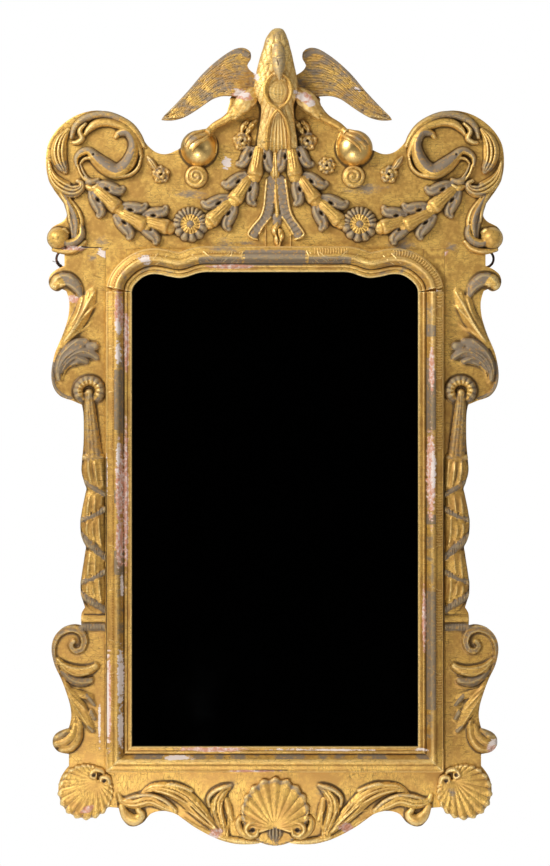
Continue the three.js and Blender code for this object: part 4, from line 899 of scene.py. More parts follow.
# Fringed edges, each ticked from end to end.
HEMS = [((345, -51), (306, -88)), ((345, -155), (306, -182)), ((346, -213), (306, -213)),
        ((346, -20), (306, -1)), ((346, -132), (306, -114))]


def board_sheet(node, step, plane=BACK, sharpest=38, arris=1.6):
    """A sheet with the outline of a board's CAD node."""
    outline = softened(node_outline(node, plane), 1.0, sharpest)
    low, high = outline.min(0) - 6, outline.max(0) + 6
    sheet = Carving((low[0], high[0]), (low[1], high[1]), step)
    sheet.board(outline, arris)
    return sheet


def crest_board():
    sheet = board_sheet("crest_board", sizes().board_step / MM)
    # Dirt and painted shade gather on the board round all that stands on it.
    sheet.stood_on = np.zeros_like(sheet.x)
    for other, middle in standing:
        x = sheet.x if middle is None else 2 * middle - sheet.x
        within = other.sample(other.inside, x, sheet.z) > 0
        near = ((x > other.x0) & (x < other.x[0, -1]) & (sheet.z > other.z0) & (sheet.z < other.z[-1, 0]))
        tall = np.where(within & near, np.clip(other.sample(other.height, x, sheet.z), 0, 20), 0)
        sheet.stood_on = np.maximum(sheet.stood_on, tall)
    body = np.array([level[:3] for level in BODY_LEVELS[::-1]])
    half = np.interp(sheet.z, body[:, 0], body[:, 2], left=0, right=0)
    sheet.stood_on[np.abs(sheet.x - 4) < half] = 20
    for side in (1, -1):
        away = np.hypot(sheet.x - EAGLE_X - side * BALL_X, sheet.z - BALL_Z)
        sheet.stood_on[away < BALL_RADIUS] = 20
    sheet.solid("crest_board", base=BACK, soften=0)


def side_boards():
    sheet = board_sheet("side_board_right", sizes().board_step / MM)
    for section, worn, points in SIDE_BODIES:
        sheet.lay(points, section, worn)
    hoop = [(334.5 + 19 * math.cos(math.radians(a)), 212 + 18 * math.sin(math.radians(a)), 9.5, 14)
            for a in range(-38, 219, 16)]
    sheet.lay(hoop, gadrooned(8.2, 0.5), lambda across, share: 0.35 + 0.4 * (across < -0.1))
    for points in SIDE_RIDGES:
        sheet.lay(points, soft_ridge, None, add=True)
    # Ticks along the fringed hems.
    for (ax, az), (bx, bz) in HEMS:
        for share in np.arange(0.06, 1, 5.4 / math.hypot(bx - ax, bz - az)):
            x, z = ax + (bx - ax) * share, az + (bz - az) * share
            sheet.cut([(x, z - 5, 1.3, 3.0), (x + 0.8, z + 5, 1.3, 3.0)])
    sheet.pair("side_board", base=BACK)


# ---------------------------------------------------------------- apron

# Leaves cut in the apron, drawn for the right.
APRON_BODIES = [
    # Leaf scroll at the end.
    (ribbed(3, 0.35), 0.3, [(282, -515, 3, 3), (274, -527, 7, 7), (252, -530, 11, 10), (226, -524, 11, 10),
        (202, -534, 8, 8), (180, -547, 4, 4)]),
    (rounded, 0.1, [(276, -536, 6, 7), (268, -552, 10, 11), (254, -560, 11, 12), (242, -552, 9, 11),
        (246, -542, 6, 9)]),
    (rounded, 0.5, [(268, -523, 3, 6), (246, -517, 4, 9), (222, -516, 4, 10), (198, -526, 4, 9),
        (178, -544, 3, 5)]),
    # Long leaf that springs from the shell's foot.
    (ribbed(4, 0.4), 0.0, [(92, -590, 4, 3), (112, -568, 10, 7), (136, -545, 14, 9), (162, -520, 15, 10),
        (190, -506, 13, 10), (218, -503, 9, 8), (238, -512, 4, 4)]),
    (rounded, 0.45, [(150, -508, 3, 6), (170, -500, 4, 9), (188, -496, 4, 9), (202, -500, 3, 6)]),
    # Upright leaf with its worn tip.
    (ribbed(3, 0.4), 0.0, [(84, -594, 4, 3), (96, -572, 10, 7), (104, -548, 12, 9), (104, -526, 11, 10),
        (94, -510, 9, 9), (82, -502, 4, 5)]),
    (rounded, 0.5, [(118, -536, 3, 6), (119, -520, 4, 10), (108, -508, 4.5, 12), (92, -501, 4.5, 12),
        (79, -498, 3, 7)]),
    (rounded, 0.0, [(78, -560, 4, 3), (84, -540, 7, 5), (88, -524, 5, 4)]),
    # Swell along the lower edge.
    (rounded, 0.35, [(22, -601, 3, 3), (42, -600, 5, 5), (70, -598, 6, 6), (98, -592, 5, 4)]),
]
APRON_RIDGES = [
    [(94, -588, 2, 2), (100, -566, 2, 3), (112, -542, 2, 3), (113, -530, 2, 2)],
    [(90, -590, 2, 2), (92, -566, 2, 3), (97, -542, 2, 4), (94, -522, 2, 3)],
    [(86, -590, 2, 2), (84, -566, 2, 3), (86, -546, 2, 2)],
    [(98, -584, 2, 2), (124, -566, 2, 4), (150, -548, 2, 3), (166, -542, 2, 2)],
    [(102, -582, 2, 2), (126, -556, 2, 4), (156, -530, 2, 4), (190, -515, 2, 3), (214, -508, 2, 2)],
    [(104, -578, 2, 2), (130, -548, 2, 4), (160, -518, 2, 4), (184, -506, 2, 3)],
    [(106, -574, 2, 2), (124, -550, 2, 3), (140, -528, 2, 3)],
    [(90, -596, 2, 2), (112, -586, 2, 3), (140, -572, 2, 3), (164, -558, 2, 2)],
]


def on_side(points, side):
    """A stroke drawn for the right, on the side wanted."""
    return [(side * x, z, half, rise) for x, z, half, rise in points]


def apron_board():
    sheet = board_sheet("apron_board", sizes().board_step / MM)
    for side in (1, -1):
        for section, worn, points in APRON_BODIES:
            sheet.lay(on_side(points, side), section, worn)
        for points in APRON_RIDGES:
            sheet.lay(on_side(points, side), soft_ridge, None, add=True)
    sheet.solid("apron_board", base=BACK, soften=0.3)


# ---------------------------------------------------------------- shells


def scallop(sheet, hinge, centre, reach, ribs, rise, half_fan, worn_rim):
    """A scallop's fan: ribs from the hinge to a fluted, turned-up rim."""
    opening = math.atan2(centre[1] - hinge[1], centre[0] - hinge[0])
    dx, dz = sheet.x - hinge[0], sheet.z - hinge[1]
    away = np.hypot(dx, dz)
    turn = (np.arctan2(dz, dx) - opening + math.pi) % (2 * math.pi) - math.pi
    # Distance from the hinge to the round rim in each direction.
    ux, uz = dx / np.maximum(away, 1e-6), dz / np.maximum(away, 1e-6)
    ox, oz = hinge[0] - centre[0], hinge[1] - centre[1]
    b = ux * ox + uz * oz
    rim = -b + np.sqrt(np.maximum(b * b - (ox * ox + oz * oz - reach * reach), 0))
    share = away / rim
    wave = np.cos(ribs * turn * math.pi / half_fan)
    ridge = np.abs(np.cos(0.5 * ribs * turn * math.pi / half_fan)) ** 0.55
    fan = np.clip((half_fan - np.abs(turn)) * 8, 0, 1)
    edge = 1 + 0.028 * wave * fan
    dome = rise * (0.42 + 0.58 * np.sin(math.pi * np.clip(0.25 + 0.55 * share, 0, 1)))
    lip = 2.6 * np.exp(-(((share - 0.93) / 0.05) ** 2)) * (0.5 + 0.5 * wave) * fan
    level = dome * (0.4 + 0.6 * fan) - 3.6 * (1 - ridge) * np.clip(share * 1.4, 0, 1) * fan + lip
    hit = share < edge
    sheet.worn = np.where(hit & (level > sheet.height), worn_rim * np.clip((share - 0.8) * 8, 0, 1)
                          + 0.28 * (1 - ridge), sheet.worn)
    sheet.height = np.where(hit, np.maximum(sheet.height, level), sheet.height)
    sheet.inside = np.maximum(sheet.inside, np.clip((edge - share) * rim, -9, 9))


def corner_shells():
    sheet = Carving((280, 400), (-568, -450), sizes().carving_step / MM)
    scallop(sheet, (320, -487), (340, -509), 49.5, 21, 15, 2.5, 0.35)
    sheet.lay([(306, -480, 3, 10), (312, -471, 5, 16), (325, -470, 6, 19), (331, -479, 5.5, 19),
               (324, -484, 4, 17)], rounded, 0.4)
    sheet.lay([(302, -502, 3, 10), (298, -494, 5, 15), (301, -484, 6, 18), (311, -483, 5, 18),
               (313, -490, 4, 16)], rounded, 0.4)
    for hole in ((325, -478), (307, -489)):
        sheet.drill(hole, 3.4, 7)
    sheet.lay([(306, -520, 3, 14), (300, -505, 3, 16), (303, -478, 3, 14)], soft_ridge, 0.2)
    sheet.pair("corner_shell")


def apron_shell():
    sheet = Carving((-80, 80), (-612, -476), sizes().carving_step / MM)
    scallop(sheet, (0, -573), (0, -545.5), 61, 15, 17, 1.95, 0.5)
    for side in (1, -1):
        sheet.lay(on_side([(62, -556, 6, 10), (66, -566, 7, 12), (60, -580, 8, 14), (46, -588, 8, 15),
                           (34, -586, 6, 15)], side), rounded, 0.15)
        sheet.lay(on_side([(20, -566, 4, 14), (32, -563, 5, 17), (46, -566, 6, 19), (52, -577, 6, 20),
                           (44, -587, 5, 20), (33, -585, 4, 19), (31, -576, 4, 18)], side), rounded, 0.3)
        sheet.drill((side * 40, -577), 4.5, 8)
        sheet.lay(on_side([(60, -545, 3, 15), (52, -558, 3, 17), (36, -566, 2.5, 16)], side),
                  soft_ridge, 0.2)
    sheet.lay([(0, -568, 9, 14), (0, -580, 16, 17), (0, -590, 14, 14), (0, -598, 8, 8)],
              ribbed(5, 0.5), 0.75)
    sheet.solid("apron_shell")


# ---------------------------------------------------------------- ears

# The ear's scrolls and leaves, drawn for the right.
EAR_BODIES = [
    # Rim: a worn outer roll, a bright inner one and the tongue that ends it.
    (rounded, lambda across, share: 0.58 * (share < 0.62), [(366, 668, 4, 8), (360, 686, 6, 11),
        (345, 700, 7, 12), (324, 707, 7, 13), (303, 708, 7, 13), (281, 701, 7, 13), (260, 688, 7, 12),
        (245, 670, 6, 11), (236, 652, 4, 8)]),
    (rounded, 0.05, [(343, 671, 3, 8), (335, 682, 6, 13), (322, 692, 8, 15), (305, 695, 8, 15),
        (287, 692, 8, 15), (269, 683, 8, 14), (255, 669, 7.5, 13), (246, 652, 6.5, 11), (241, 635, 4, 7)]),
    (rounded, 0.4, [(363, 658, 4, 9), (355, 659, 5, 12), (347, 666, 5.5, 13), (351, 680, 5, 13),
        (340, 692, 3, 12)]),
    # The great scroll, worn on its inner side.
    (rounded, lambda across, share: 0.72 * (across > -0.25) * (share > 0.03), [(287, 668, 4, 7),
        (279, 676, 7, 12), (264, 675, 8, 15), (254.5, 657, 9, 16), (257, 636, 12, 18), (268, 616, 14, 20),
        (285, 606, 14.5, 20), (304, 615, 15, 20), (320, 628, 12.5, 18), (334, 642, 8, 15),
        (347, 641, 7, 13), (357, 631, 5, 10), (357, 617, 3, 7)]),
    (rounded, 0.0, [(350, 621, 2, 9), (342, 629, 3, 12), (331, 629, 3.4, 14), (319, 618, 3.4, 15),
        (307, 606, 3.4, 16), (291, 598, 3.6, 15), (275, 597, 3.6, 14), (258, 602, 3.6, 13),
        (246, 614, 3.4, 12), (241, 632, 2.5, 9)]),
    (rounded, 0.1, [(355, 618, 2.5, 7), (351, 605, 2.8, 8), (344, 594, 2.8, 8), (337, 587, 2.6, 8)]),
    (rounded, 0.6, [(350, 619, 2, 6), (345, 606, 2.4, 8), (338, 596, 2.4, 8), (332, 590, 2.4, 7)]),
    (rounded, 0.8, [(338, 586, 4, 9), (330, 588, 5, 11), (322, 590, 4, 9)]),
    (rounded, 0.0, [(335, 576, 4, 9), (326, 577, 5, 12), (318, 582, 4, 10)]),
    # Outer leaf in long ribs, blunt at its foot.
    (ribbed(4, 0.45), lambda across, share: 0.3 + 0.3 * (share > 0.8), [(372, 681, 5, 8),
        (384, 665, 11, 13), (389, 645, 14.5, 15), (387, 626, 13, 15), (380, 611, 9, 13),
        (378, 607, 6, 9)]),
    # The sweep below it, wound up beside the stem.
    (ribbed(4, 0.4), lambda across, share: 0.3 + 0.22 * (share > 0.55), [(407, 624, 3, 6),
        (404, 608, 6, 10), (398, 594, 10, 13), (388, 583, 13, 15), (375, 575, 14, 16), (362, 572, 13, 16),
        (351, 576, 9, 15), (348, 584, 6, 13), (355, 589, 4, 11)]),
    # Stem, and the scroll at its foot.
    (ribbed(2, 0.4), lambda across, share: 0.85 * (across > -0.2), [(378, 562, 6, 8), (369, 546, 10, 13),
        (361, 530, 13, 15), (357, 514, 13.5, 16), (357, 500, 11, 15), (359, 488, 8, 12)]),
    (rounded, 0.0, [(394, 580, 3, 6), (383, 563, 4, 9), (375, 548, 4, 11), (371, 532, 4, 12),
        (369, 516, 3, 11)]),
    (rounded, lambda across, share: 0.85 * (across < 0.1) * (share < 0.6), [(349, 509, 5, 12),
        (348, 494, 7, 15), (356, 482, 8, 17), (370, 477, 8, 18), (382, 483, 6, 18), (385, 494, 5, 17),
        (379, 501, 4.5, 15), (373, 496, 4, 12)]),
    (rounded, 0.1, [(342, 480, 4, 7), (355, 468, 6, 10), (376, 463, 6, 10), (398, 466, 4, 7)]),
]


def ear_scrolls():
    sheet = Carving((226, 418), (452, 722), sizes().carving_step / MM)
    for section, worn, points in EAR_BODIES:
        sheet.lay(points, section, worn)
    sheet.mound((390, 486.5), 20.3, lambda share, turn: (25 * np.sqrt(np.clip(1 - share**2, 0, 1)), 1),
                lambda share, turn: 0.1 + 0.3 * (share > 0.8))
    sheet.drill((364, 583), 4.5, 11)
    sheet.drill((326, 636), 2.6, 7)
    sheet.pair("ear_scroll")


# ---------------------------------------------------------------- festoon and flowers


def husk(sheet, calyx, open_end):
    """A husk: a ribbed bright lobe between two worn ones that curl out, a hole on each side."""
    ax, az = open_end[0] - calyx[0], open_end[1] - calyx[1]
    length = math.hypot(ax, az)
    ux, uz = ax / length, az / length

    def at(share, out):
        return calyx[0] + ax * share - uz * out, calyx[1] + az * share + ux * out

    def lobe(points, section, worn):
        sheet.lay([(*at(share, out), half, rise) for share, out, half, rise in points], section, worn)

    for side in (1, -1):
        lobe([(-0.06, 10 * side, 7, 10), (0.12, 15 * side, 10, 14), (0.34, 18.5 * side, 11.5, 16),
              (0.52, 22 * side, 11, 15.5), (0.62, 27 * side, 9.5, 14), (0.65, 32.5 * side, 6, 10)],
             husk_lip, 0.74)
    lobe([(-0.06, 0, 8, 11), (0.14, 0, 11, 16), (0.45, 0, 13, 19), (0.75, 0, 14, 20.5),
          (0.90, 0, 14, 19.5), (0.98, 0, 12.5, 14)], husk_cup, 0.0)
    for side in (1, -1):
        x0, z0 = at(0.20, 12 * side)
        x1, z1 = at(0.36, 13.5 * side)
        sheet.cut([(x0, z0, 2.8, 9), ((x0 + x1) / 2, (z0 + z1) / 2, 4, 15), (x1, z1, 2.8, 9)])
        win = sheet.window(min(x0, x1) - 3, max(x0, x1) + 3, min(z0, z1) - 3, max(z0, z1) + 3)
        near = np.hypot(sheet.x[win] - (x0 + x1) / 2, sheet.z[win] - (z0 + z1) / 2) < 5.5
        sheet.worn[win] = np.where(near & (sheet.height[win] < 9), 1.0, sheet.worn[win])


def husk_cup(across, along, share):
    """The middle lobe: five flutes that fade into a smooth round end."""
    rib = np.abs(np.cos(2.5 * math.pi * (across + 1)))
    depth = 0.2 * np.clip((0.85 - share) * 4, 0, 1)
    return (1 - depth * (1 - rib) ** 1.4) * np.clip(1 - across**2, 0, 1) ** 0.42


def husk_lip(across, along, share):
    """A lobe hollowed a little down its middle, with thin lips."""
    lips = 0.84 + 0.16 * np.cos((np.abs(across) - 0.55) * 4.4)
    return lips * np.clip(1 - across**2, 0, 1) ** 0.45


INNER_HUSKS = [((28.5, 650), (37, 596)), ((48, 592), (74, 553)), ((82, 550), (119, 514))]
OUTER_HUSKS = [((321, 574), (281, 539)), ((278, 532), (231, 508)), ((234, 518), (190, 505))]


def festoon():
    sheet = Carving((-6, 150), (480, 650), sizes().carving_step / MM)
    for calyx, open_end in reversed(INNER_HUSKS):
        husk(sheet, calyx, open_end)
    sheet.lay([(1, 640, 4, 8), (1.5, 620, 6, 13), (2.5, 602, 6, 12), (3, 596, 4, 6)], ribbed(2, 0.3), 0.1)
    sheet.inside = np.minimum(sheet.inside, sheet.x)
    sheet.pair("husks_inner", "worn_gilt_pine")
    sheet = Carving((160, 360), (470, 615), sizes().carving_step / MM)
    for calyx, open_end in reversed(OUTER_HUSKS):
        husk(sheet, calyx, open_end)
    sheet.lay([(342, 596, 4, 7), (334, 588, 7, 13), (326, 588, 6, 12), (318, 592, 4, 8)], rounded, 0.6)
    sheet.lay([(340, 580, 4, 7), (331, 576, 7, 12), (322, 575, 5, 9)], rounded, 0.1)
    sheet.pair("husks_outer", "worn_gilt_pine")


def sunflower(sheet, centre, radius, petals, rise):
    """An open flower: a dark button, a ring of short bright rays and a rim of broad worn petals."""
    def shape(share, turn):
        wave = np.where(turn > 0, np.abs(np.cos(petals * turn)) ** 0.7, np.abs(np.cos(petals * turn / 2)))
        rays = np.abs(np.cos(8 * turn))
        rim = 0.86 + 0.14 * wave**0.6
        out = np.clip((share - 0.42) / (rim - 0.42), 0, 1)
        petal = rise * (0.3 + 0.7 * wave**0.45 * np.sin(math.pi * (0.12 + 0.80 * out)))
        ring = rise * (0.62 + 0.26 * rays - 0.5 * (share - 0.4))
        knob = rise * (0.5 + 0.5 * np.sqrt(np.clip(1 - (share / 0.24) ** 2, 0, 1)))
        inner = np.where(share < 0.55, np.maximum(ring, petal * (share > 0.5)), petal)
        return np.where(share < 0.22, knob, inner), rim

    sheet.mound(centre, radius, shape,
                lambda share, turn: np.where(share > 0.55, 0.95, np.where(share < 0.2, 0.95, 0.1)))


def floret(sheet, centre, radius, petals, first):
    """A small knotted flower: short curled leaves heaped round a hollow, with dark gaps between."""
    for ring, (reach, half, rise) in enumerate(((0.60, 0.42, 12), (0.30, 0.30, 16))):
        for k in range(petals - ring):
            turn = math.radians(first + 360 * (k + 0.5 * ring) / (petals - ring))
            c, s = math.cos(turn), math.sin(turn)
            x, z = centre[0] + reach * radius * c, centre[1] + reach * radius * s
            lean = 0.22 * radius
            sheet.lay([(x - lean * s, z + lean * c, half * radius * 0.6, rise - 5),
                       (x, z, half * radius, rise - 2 * (k % 2)),
                       (x + lean * s, z - lean * c, half * radius * 0.8, rise - 4)],
                      rounded, 0.42 + 0.14 * (k % 2))
            sheet.cut([(x, z, half * radius * 0.3, 4),
                       (x + lean * s, z - lean * c, half * radius * 0.25, 3)])
    x, z = centre
    sheet.cut([(x - 1, z, radius * 0.15, 9), (x + 1, z - 1, radius * 0.12, 9)])


def rosette(sheet, centre, radius):
    """A rose seen from in front: a low dome whose rim is thick, with a petal wound up inside."""
    def shape(share, turn):
        dome = 14 * np.sqrt(np.clip(1 - 0.8 * share**2, 0, 1))
        coil = (1.8 * np.cos(share * 15 - turn) * np.clip(share * 5, 0, 1) - 1.5) * (share < 0.72)
        return dome + coil, np.ones_like(share)

    sheet.mound(centre, radius, shape, lambda share, turn: 0.3 * (share < 0.6) + 0.12)


def flowers():
    step = sizes().carving_step / MM
    sheet = Carving((114, 190), (472, 550), step)
    sunflower(sheet, (152, 511), 32, 11, 16)
    sheet.pair("sunflower", "worn_gilt_pine")
    sheet = Carving((114, 170), (570, 622), step)
    rosette(sheet, (141.5, 597), 20.5)
    sheet.pair("rosette")
    sheet = Carving((28, 88), (636, 706), step)
    floret(sheet, (59, 661), 18, 5, 20)
    sheet.lay([(52, 672, 3, 7), (44, 686, 6, 10), (34, 698, 4, 6)], ribbed(2, 0.4), 0.4)
    sheet.lay([(60, 676, 3, 7), (58, 688, 4, 9), (50, 698, 3, 5)], rounded, 0.4)
    for x, z, half in ((47, 681, 5), (41, 691, 5), (54, 687, 4), (50, 695, 4)):
        sheet.lay([(x - 2, z + 3, half * 0.6, 6), (x, z, half, 13), (x + 2, z - 4, half * 0.7, 8)],
                  leaf, 0.4)
    sheet.pair("floret")
    sheet = Carving((70, 118), (592, 642), step)
    floret(sheet, (93.5, 617), 16.5, 7, 10)
    sheet.solid("floret_lower_right", "worn_gilt_pine")
    sheet = Carving((180, 244), (576, 644), step)
    sheet.lay([(229, 633, 3, 6), (223, 624, 6.5, 11), (216, 614, 6, 11), (211, 607, 3, 8)],
              ribbed(3, 0.5), 0.5)
    floret(sheet, (205, 601), 17, 5, 20)
    sheet.pair("sprig")


# ---------------------------------------------------------------- the eagle

EAGLE_X = 3  # the bird stands a little to the right of the middle
# Levels of the bird's body: z, middle, half width, front and back.
BODY_LEVELS = [
    (860.0, 5, 5, -64, -55), (857.5, 5, 10, -72, -46), (850, 4, 15.5, -79, -39), (840, 3, 20, -84, -34.5),
    (825, 3, 24.2, -86, -33), (810, 2.5, 28.6, -84, -33), (795, 2, 32.2, -81, -33),
    (780, 2, 35.6, -78, -33), (765, 2, 38.2, -77, -33), (750, 1.5, 38.6, -77, -33),
    (737, 2, 35.5, -75, -33), (722, 4, 29.5, -72.5, -33), (705, 4.5, 29.5, -69, -33),
    (680, 4, 32.5, -62.5, -33), (662, 4, 35, -55, -33), (651, 4, 35, -47, -33), (644, 4, 33, -39, -33),
    (641, 4, 31, -35.5, -33),
]
# The bill: hooked over, with its point free of the breast.
BILL_LEVELS = [
    (834, 5, 5, -87, -72), (828, 5.5, 8.5, -91, -72), (816, 6, 11.5, -95.5, -72),
    (801, 6.5, 11.8, -98.4, -72), (787, 7, 10.4, -99.2, -72), (777, 7.5, 7.4, -98.2, -77),
    (769, 8, 4, -95, -82), (764, 8, 1.2, -90.5, -86),
]
# Thigh and shank: places from the bird's middle, with the radius at each.
LEG = [(34, -50, 750, 9), (44, -52, 742, 14), (57, -51, 728, 17.5), (72, -47, 713, 12.5),
       (90, -43, 700, 7.8), (110, -42, 689, 6.2), (118, -41, 682, 6.4), (125, -46, 675, 6)]
BALL_X, BALL_Z = 140, 648  # the balls' middles, from the bird's
BALL_RADIUS = 33
BALL_HEIGHT = 30  # over the board
# Toes laid flat over the ball, the last behind it: x, z and radius.
TOES = [
    [(120, 680, 4.4), (134, 677, 3.9), (149, 672, 3.4), (161, 661, 2.8), (165, 652, 1)],
    [(119, 677, 4.4), (131, 670, 3.9), (145, 663, 3.4), (157, 652, 2.8), (160, 644, 1)],
    [(118, 674, 4.2), (127, 664, 3.6), (139, 655, 3.2), (149, 645, 2.6), (151, 638, 1)],
    [(117, 677, 3.4), (111, 664, 2.7), (108.5, 650, 2.3), (110, 636, 1)],
]
# The ribbon's two ends: each leaves the bill, rounds the loop, crosses and falls to a side.
RIBBON = [(-3, -85, 775), (-12, -83, 767), (-18, -80.5, 752), (-17, -79.5, 738), (-9, -78, 724),
          (5, -78.5, 714), (16, -73.5, 701), (22.5, -68.5, 686), (25.5, -62, 668), (26, -53, 655),
          (26.5, -43, 645)]
WING_TOP = [(52, 817), (68, 826), (92, 814), (113, 798), (136, 776), (157, 751), (184, 722), (203, 706)]
WING_FOOT = [(46, 746), (62, 741), (84, 744), (104, 741), (126, 727), (148, 715), (174, 703), (201, 702)]


def joined_mesh(name, shells):
    """One mesh of closed shells, all facing outwards."""
    points, faces = [], []
    for shell_points, shell_faces in shells:
        first = len(points)
        points += shell_points
        faces += [tuple(first + i for i in face) for face in shell_faces]
    mesh = bpy.data.meshes.new(name)
    mesh.from_pydata((np.array(points) * MM).tolist(), [], faces)
    outward(mesh)
    return mesh


def merged(name, *parts):
    """One mesh in place of several."""
    body = bmesh.new()
    for part in parts:
        body.from_mesh(part)
        bpy.data.meshes.remove(part)
    mesh = bpy.data.meshes.new(name)
    body.to_mesh(mesh)
    body.free()
    return mesh


def stand(node, mesh, relief, worn=None, finish="water_gilding"):
    """A piece of the bird: shaded, worn and standing for its CAD node."""
    obj = finished(mesh, (finish,), sharp=60)
    weather(obj, relief, worn)
    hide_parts(node)


def skinned(rings):
    """A closed shell through rings of equal counts, its two ends drawn together."""
    count = len(rings[0])
    points = [tuple(p) for ring in rings for p in ring]
    faces = []
    for i in range(len(rings) - 1):
        for k in range(count):
            over = (k + 1) % count
            faces.append((i * count + k, i * count + over, (i + 1) * count + over, (i + 1) * count + k))
    for ring, first, turned in ((rings[0], 0, True), (rings[-1], (len(rings) - 1) * count, False)):
        tip = len(points)
        points.append(tuple(np.mean(ring, 0)))
        for k in range(count):
            face = (first + k, first + (k + 1) % count, tip)
            faces.append(face[::-1] if turned else face)
    return points, faces


def levelled(levels, count, gap, square=2.25):
    """A body through level rings of the given middle, half width, front and back."""
    rings = []
    for z, middle, half, front, back in smooth_run(levels, gap):
        ring = []
        for k in range(count):
            turn = -math.tau * k / count
            c, s = math.cos(turn), math.sin(turn)
            x = middle + half * math.copysign(abs(c) ** (2 / square), c)
            y = (front + back) / 2 + (back - front) / 2 * math.copysign(abs(s) ** (2 / square), s)
            ring.append((x, y, z))
        rings.append(ring)
    return skinned(rings)


def limb(points, count=24, gap=1.5, flat=1.0):
    """A round limb along points of x, y, z and radius."""
    run = smooth_run([(x, z, y, r) for x, y, z, r in points], gap)
    place = np.stack([run[:, 0], run[:, 2], run[:, 1]], 1)
    ahead = np.gradient(place, axis=0)
    ahead /= np.linalg.norm(ahead, axis=1)[:, None]
    rings = []
    for p, t, r in zip(place, ahead, run[:, 3]):
        side = np.cross(t, (0, 1, 0))
        side /= np.linalg.norm(side)
        up = np.cross(side, t)
        turns = [math.tau * k / count for k in range(count)]
        rings.append([tuple(p + r * (math.cos(a) * side + flat * math.sin(a) * up)) for a in turns])
    return skinned(rings)


def pressed(mesh, sheet):
    """Raises a mesh's front by the heights of a sheet drawn over it, and gives the sheet's wear."""
    place, normal = rows(mesh.vertices, "co") / MM, rows(mesh.vertex_normals, "vector")
    height = sheet.sample(sheet.height, place[:, 0], place[:, 2])
    dull = sheet.sample(sheet.worn, place[:, 0], place[:, 2])
    facing = np.clip(-1.6 * normal[:, 1], 0, 1)
    place += normal * (height * facing)[:, None]
    mesh.vertices.foreach_set("co", (place * MM).ravel())
    mesh.update()
    return dull * facing


def outward(mesh):
    body = bmesh.new()
    body.from_mesh(mesh)
    bmesh.ops.recalc_face_normals(body, faces=body.faces)
    body.to_mesh(mesh)
    body.free()


def hackles(sheet, middle, top, foot, half_at):
    """Rows of pointed feathers lying down the neck and breast, each row over the one below."""
    for row, z in enumerate(np.arange(foot, top, 9.5)):
        half = half_at(z)
        count = max(3, int(2 * half / 8.5))
        for k in range(-1, count + 1):
            x = middle - half + (k + 0.5 * (row % 2) + 0.25) * 2 * half / count
            lean = (x - middle) * 0.16
            sheet.lay([(x, z + 10, 2.2, 0.5), (x + lean * 0.5, z + 1, 4.4, 1.6),
                       (x + lean, z - 7, 3.6, 2.2), (x + lean * 1.2, z - 12, 1.4, 1.6)],
                      feathered(2.6, 0.3), None)


def eagle_body():
    sheet = Carving((-50, 58), (632, 866), 0.9)
    hackles(sheet, 2, 846, 648, lambda z: np.interp(z, [640, 700, 760, 860], [36, 28, 37, 14]))
    # The breast shows smooth inside the ribbon's loop, and fluted between its falling ends.
    sheet.height *= np.clip((np.hypot((sheet.x - 6) / 20, (sheet.z - 745) / 25) - 0.85) * 5, 0, 1)
    between = (sheet.z < 712) & (np.abs(sheet.x - 5.5) < np.interp(sheet.z, [640, 712], [18, 6]))
    sheet.height = np.where(between, 0, sheet.height)
    for x0, x1 in ((-10, 1), (-1.5, 3.5), (5.5, 6), (12.5, 8.5), (21, 11)):
        sheet.lay([(x1, 708, 1.6, 0.5), (x0 * 0.6 + x1 * 0.4, 680, 3, 2.2), (x0, 644, 3.6, 2.4)],
                  soft_ridge, 0)
    for x in (-9, -2, 5, 12, 19):
        sheet.lay([(6 + (x - 5) * 0.3, 764, 1, 0.3), (x, 745, 1.2, 0.8), (6 + (x - 5) * 0.4, 726, 1, 0.3)],
                  soft_ridge, 0, add=True)
    # Hollows just inside the ribbon, which are painted dark: painted shade for the ribbon's shadow, with
    # dirt.
    for way in (1, -1):
        sheet.cut([(5.5 + way * 0.79 * (x - 5.5), z, 2.8, 1.7) for x, _, z in RIBBON[1:]])
    # Brows and eyes.
    for x, way in ((-10, -1), (20, 1)):
        sheet.lay([(x - 3 * way, 843, 2.5, 1), (x + 2 * way, 836, 3, 3.4), (x + 3 * way, 826, 2, 1)],
                  rounded, 0.5)
        sheet.cut([(x + way, 833, 1.6, 2.6), (x + 1.5 * way, 829, 1.6, 2.8)])
        sheet.mound((x + way, 830.5), 2.6,
                    lambda share, turn: (2.4 * np.sqrt(np.clip(1 - share**2, 0, 1)), 1))
    trunk = joined_mesh("trunk", [levelled(BODY_LEVELS, 170, 1.25)])
    bill = joined_mesh("bill", [levelled(BILL_LEVELS, 56, 1.1, 2.0)])
    dull = np.append(pressed(trunk, sheet), np.full(len(bill.vertices), 0.54))
    beak = Carving((-14, 28), (755, 842), 0.7)
    beak.cut([(4, 799, 1.2, 2.4), (6, 794, 1.8, 3.4), (6.5, 789, 1.2, 2.2)])
    beak.cut([(10, 799, 1.0, 1.6), (8.5, 794, 1.3, 2.2)])
    beak.lay([(-4, 806, 1.6, 1), (6, 803, 2, 1.8), (17, 806, 1.6, 1)], soft_ridge, None, add=True)
    pressed(bill, beak)
    mesh = merged("eagle_body_carved", trunk, bill)
    # Painted highlight: the body's relief is raised by 0.46 all over, so the whole body is painted paler.
    stand("eagle_body", mesh, np.clip(shape_relief(mesh, 8, 1.2) + 0.46, -1, 1), dull)


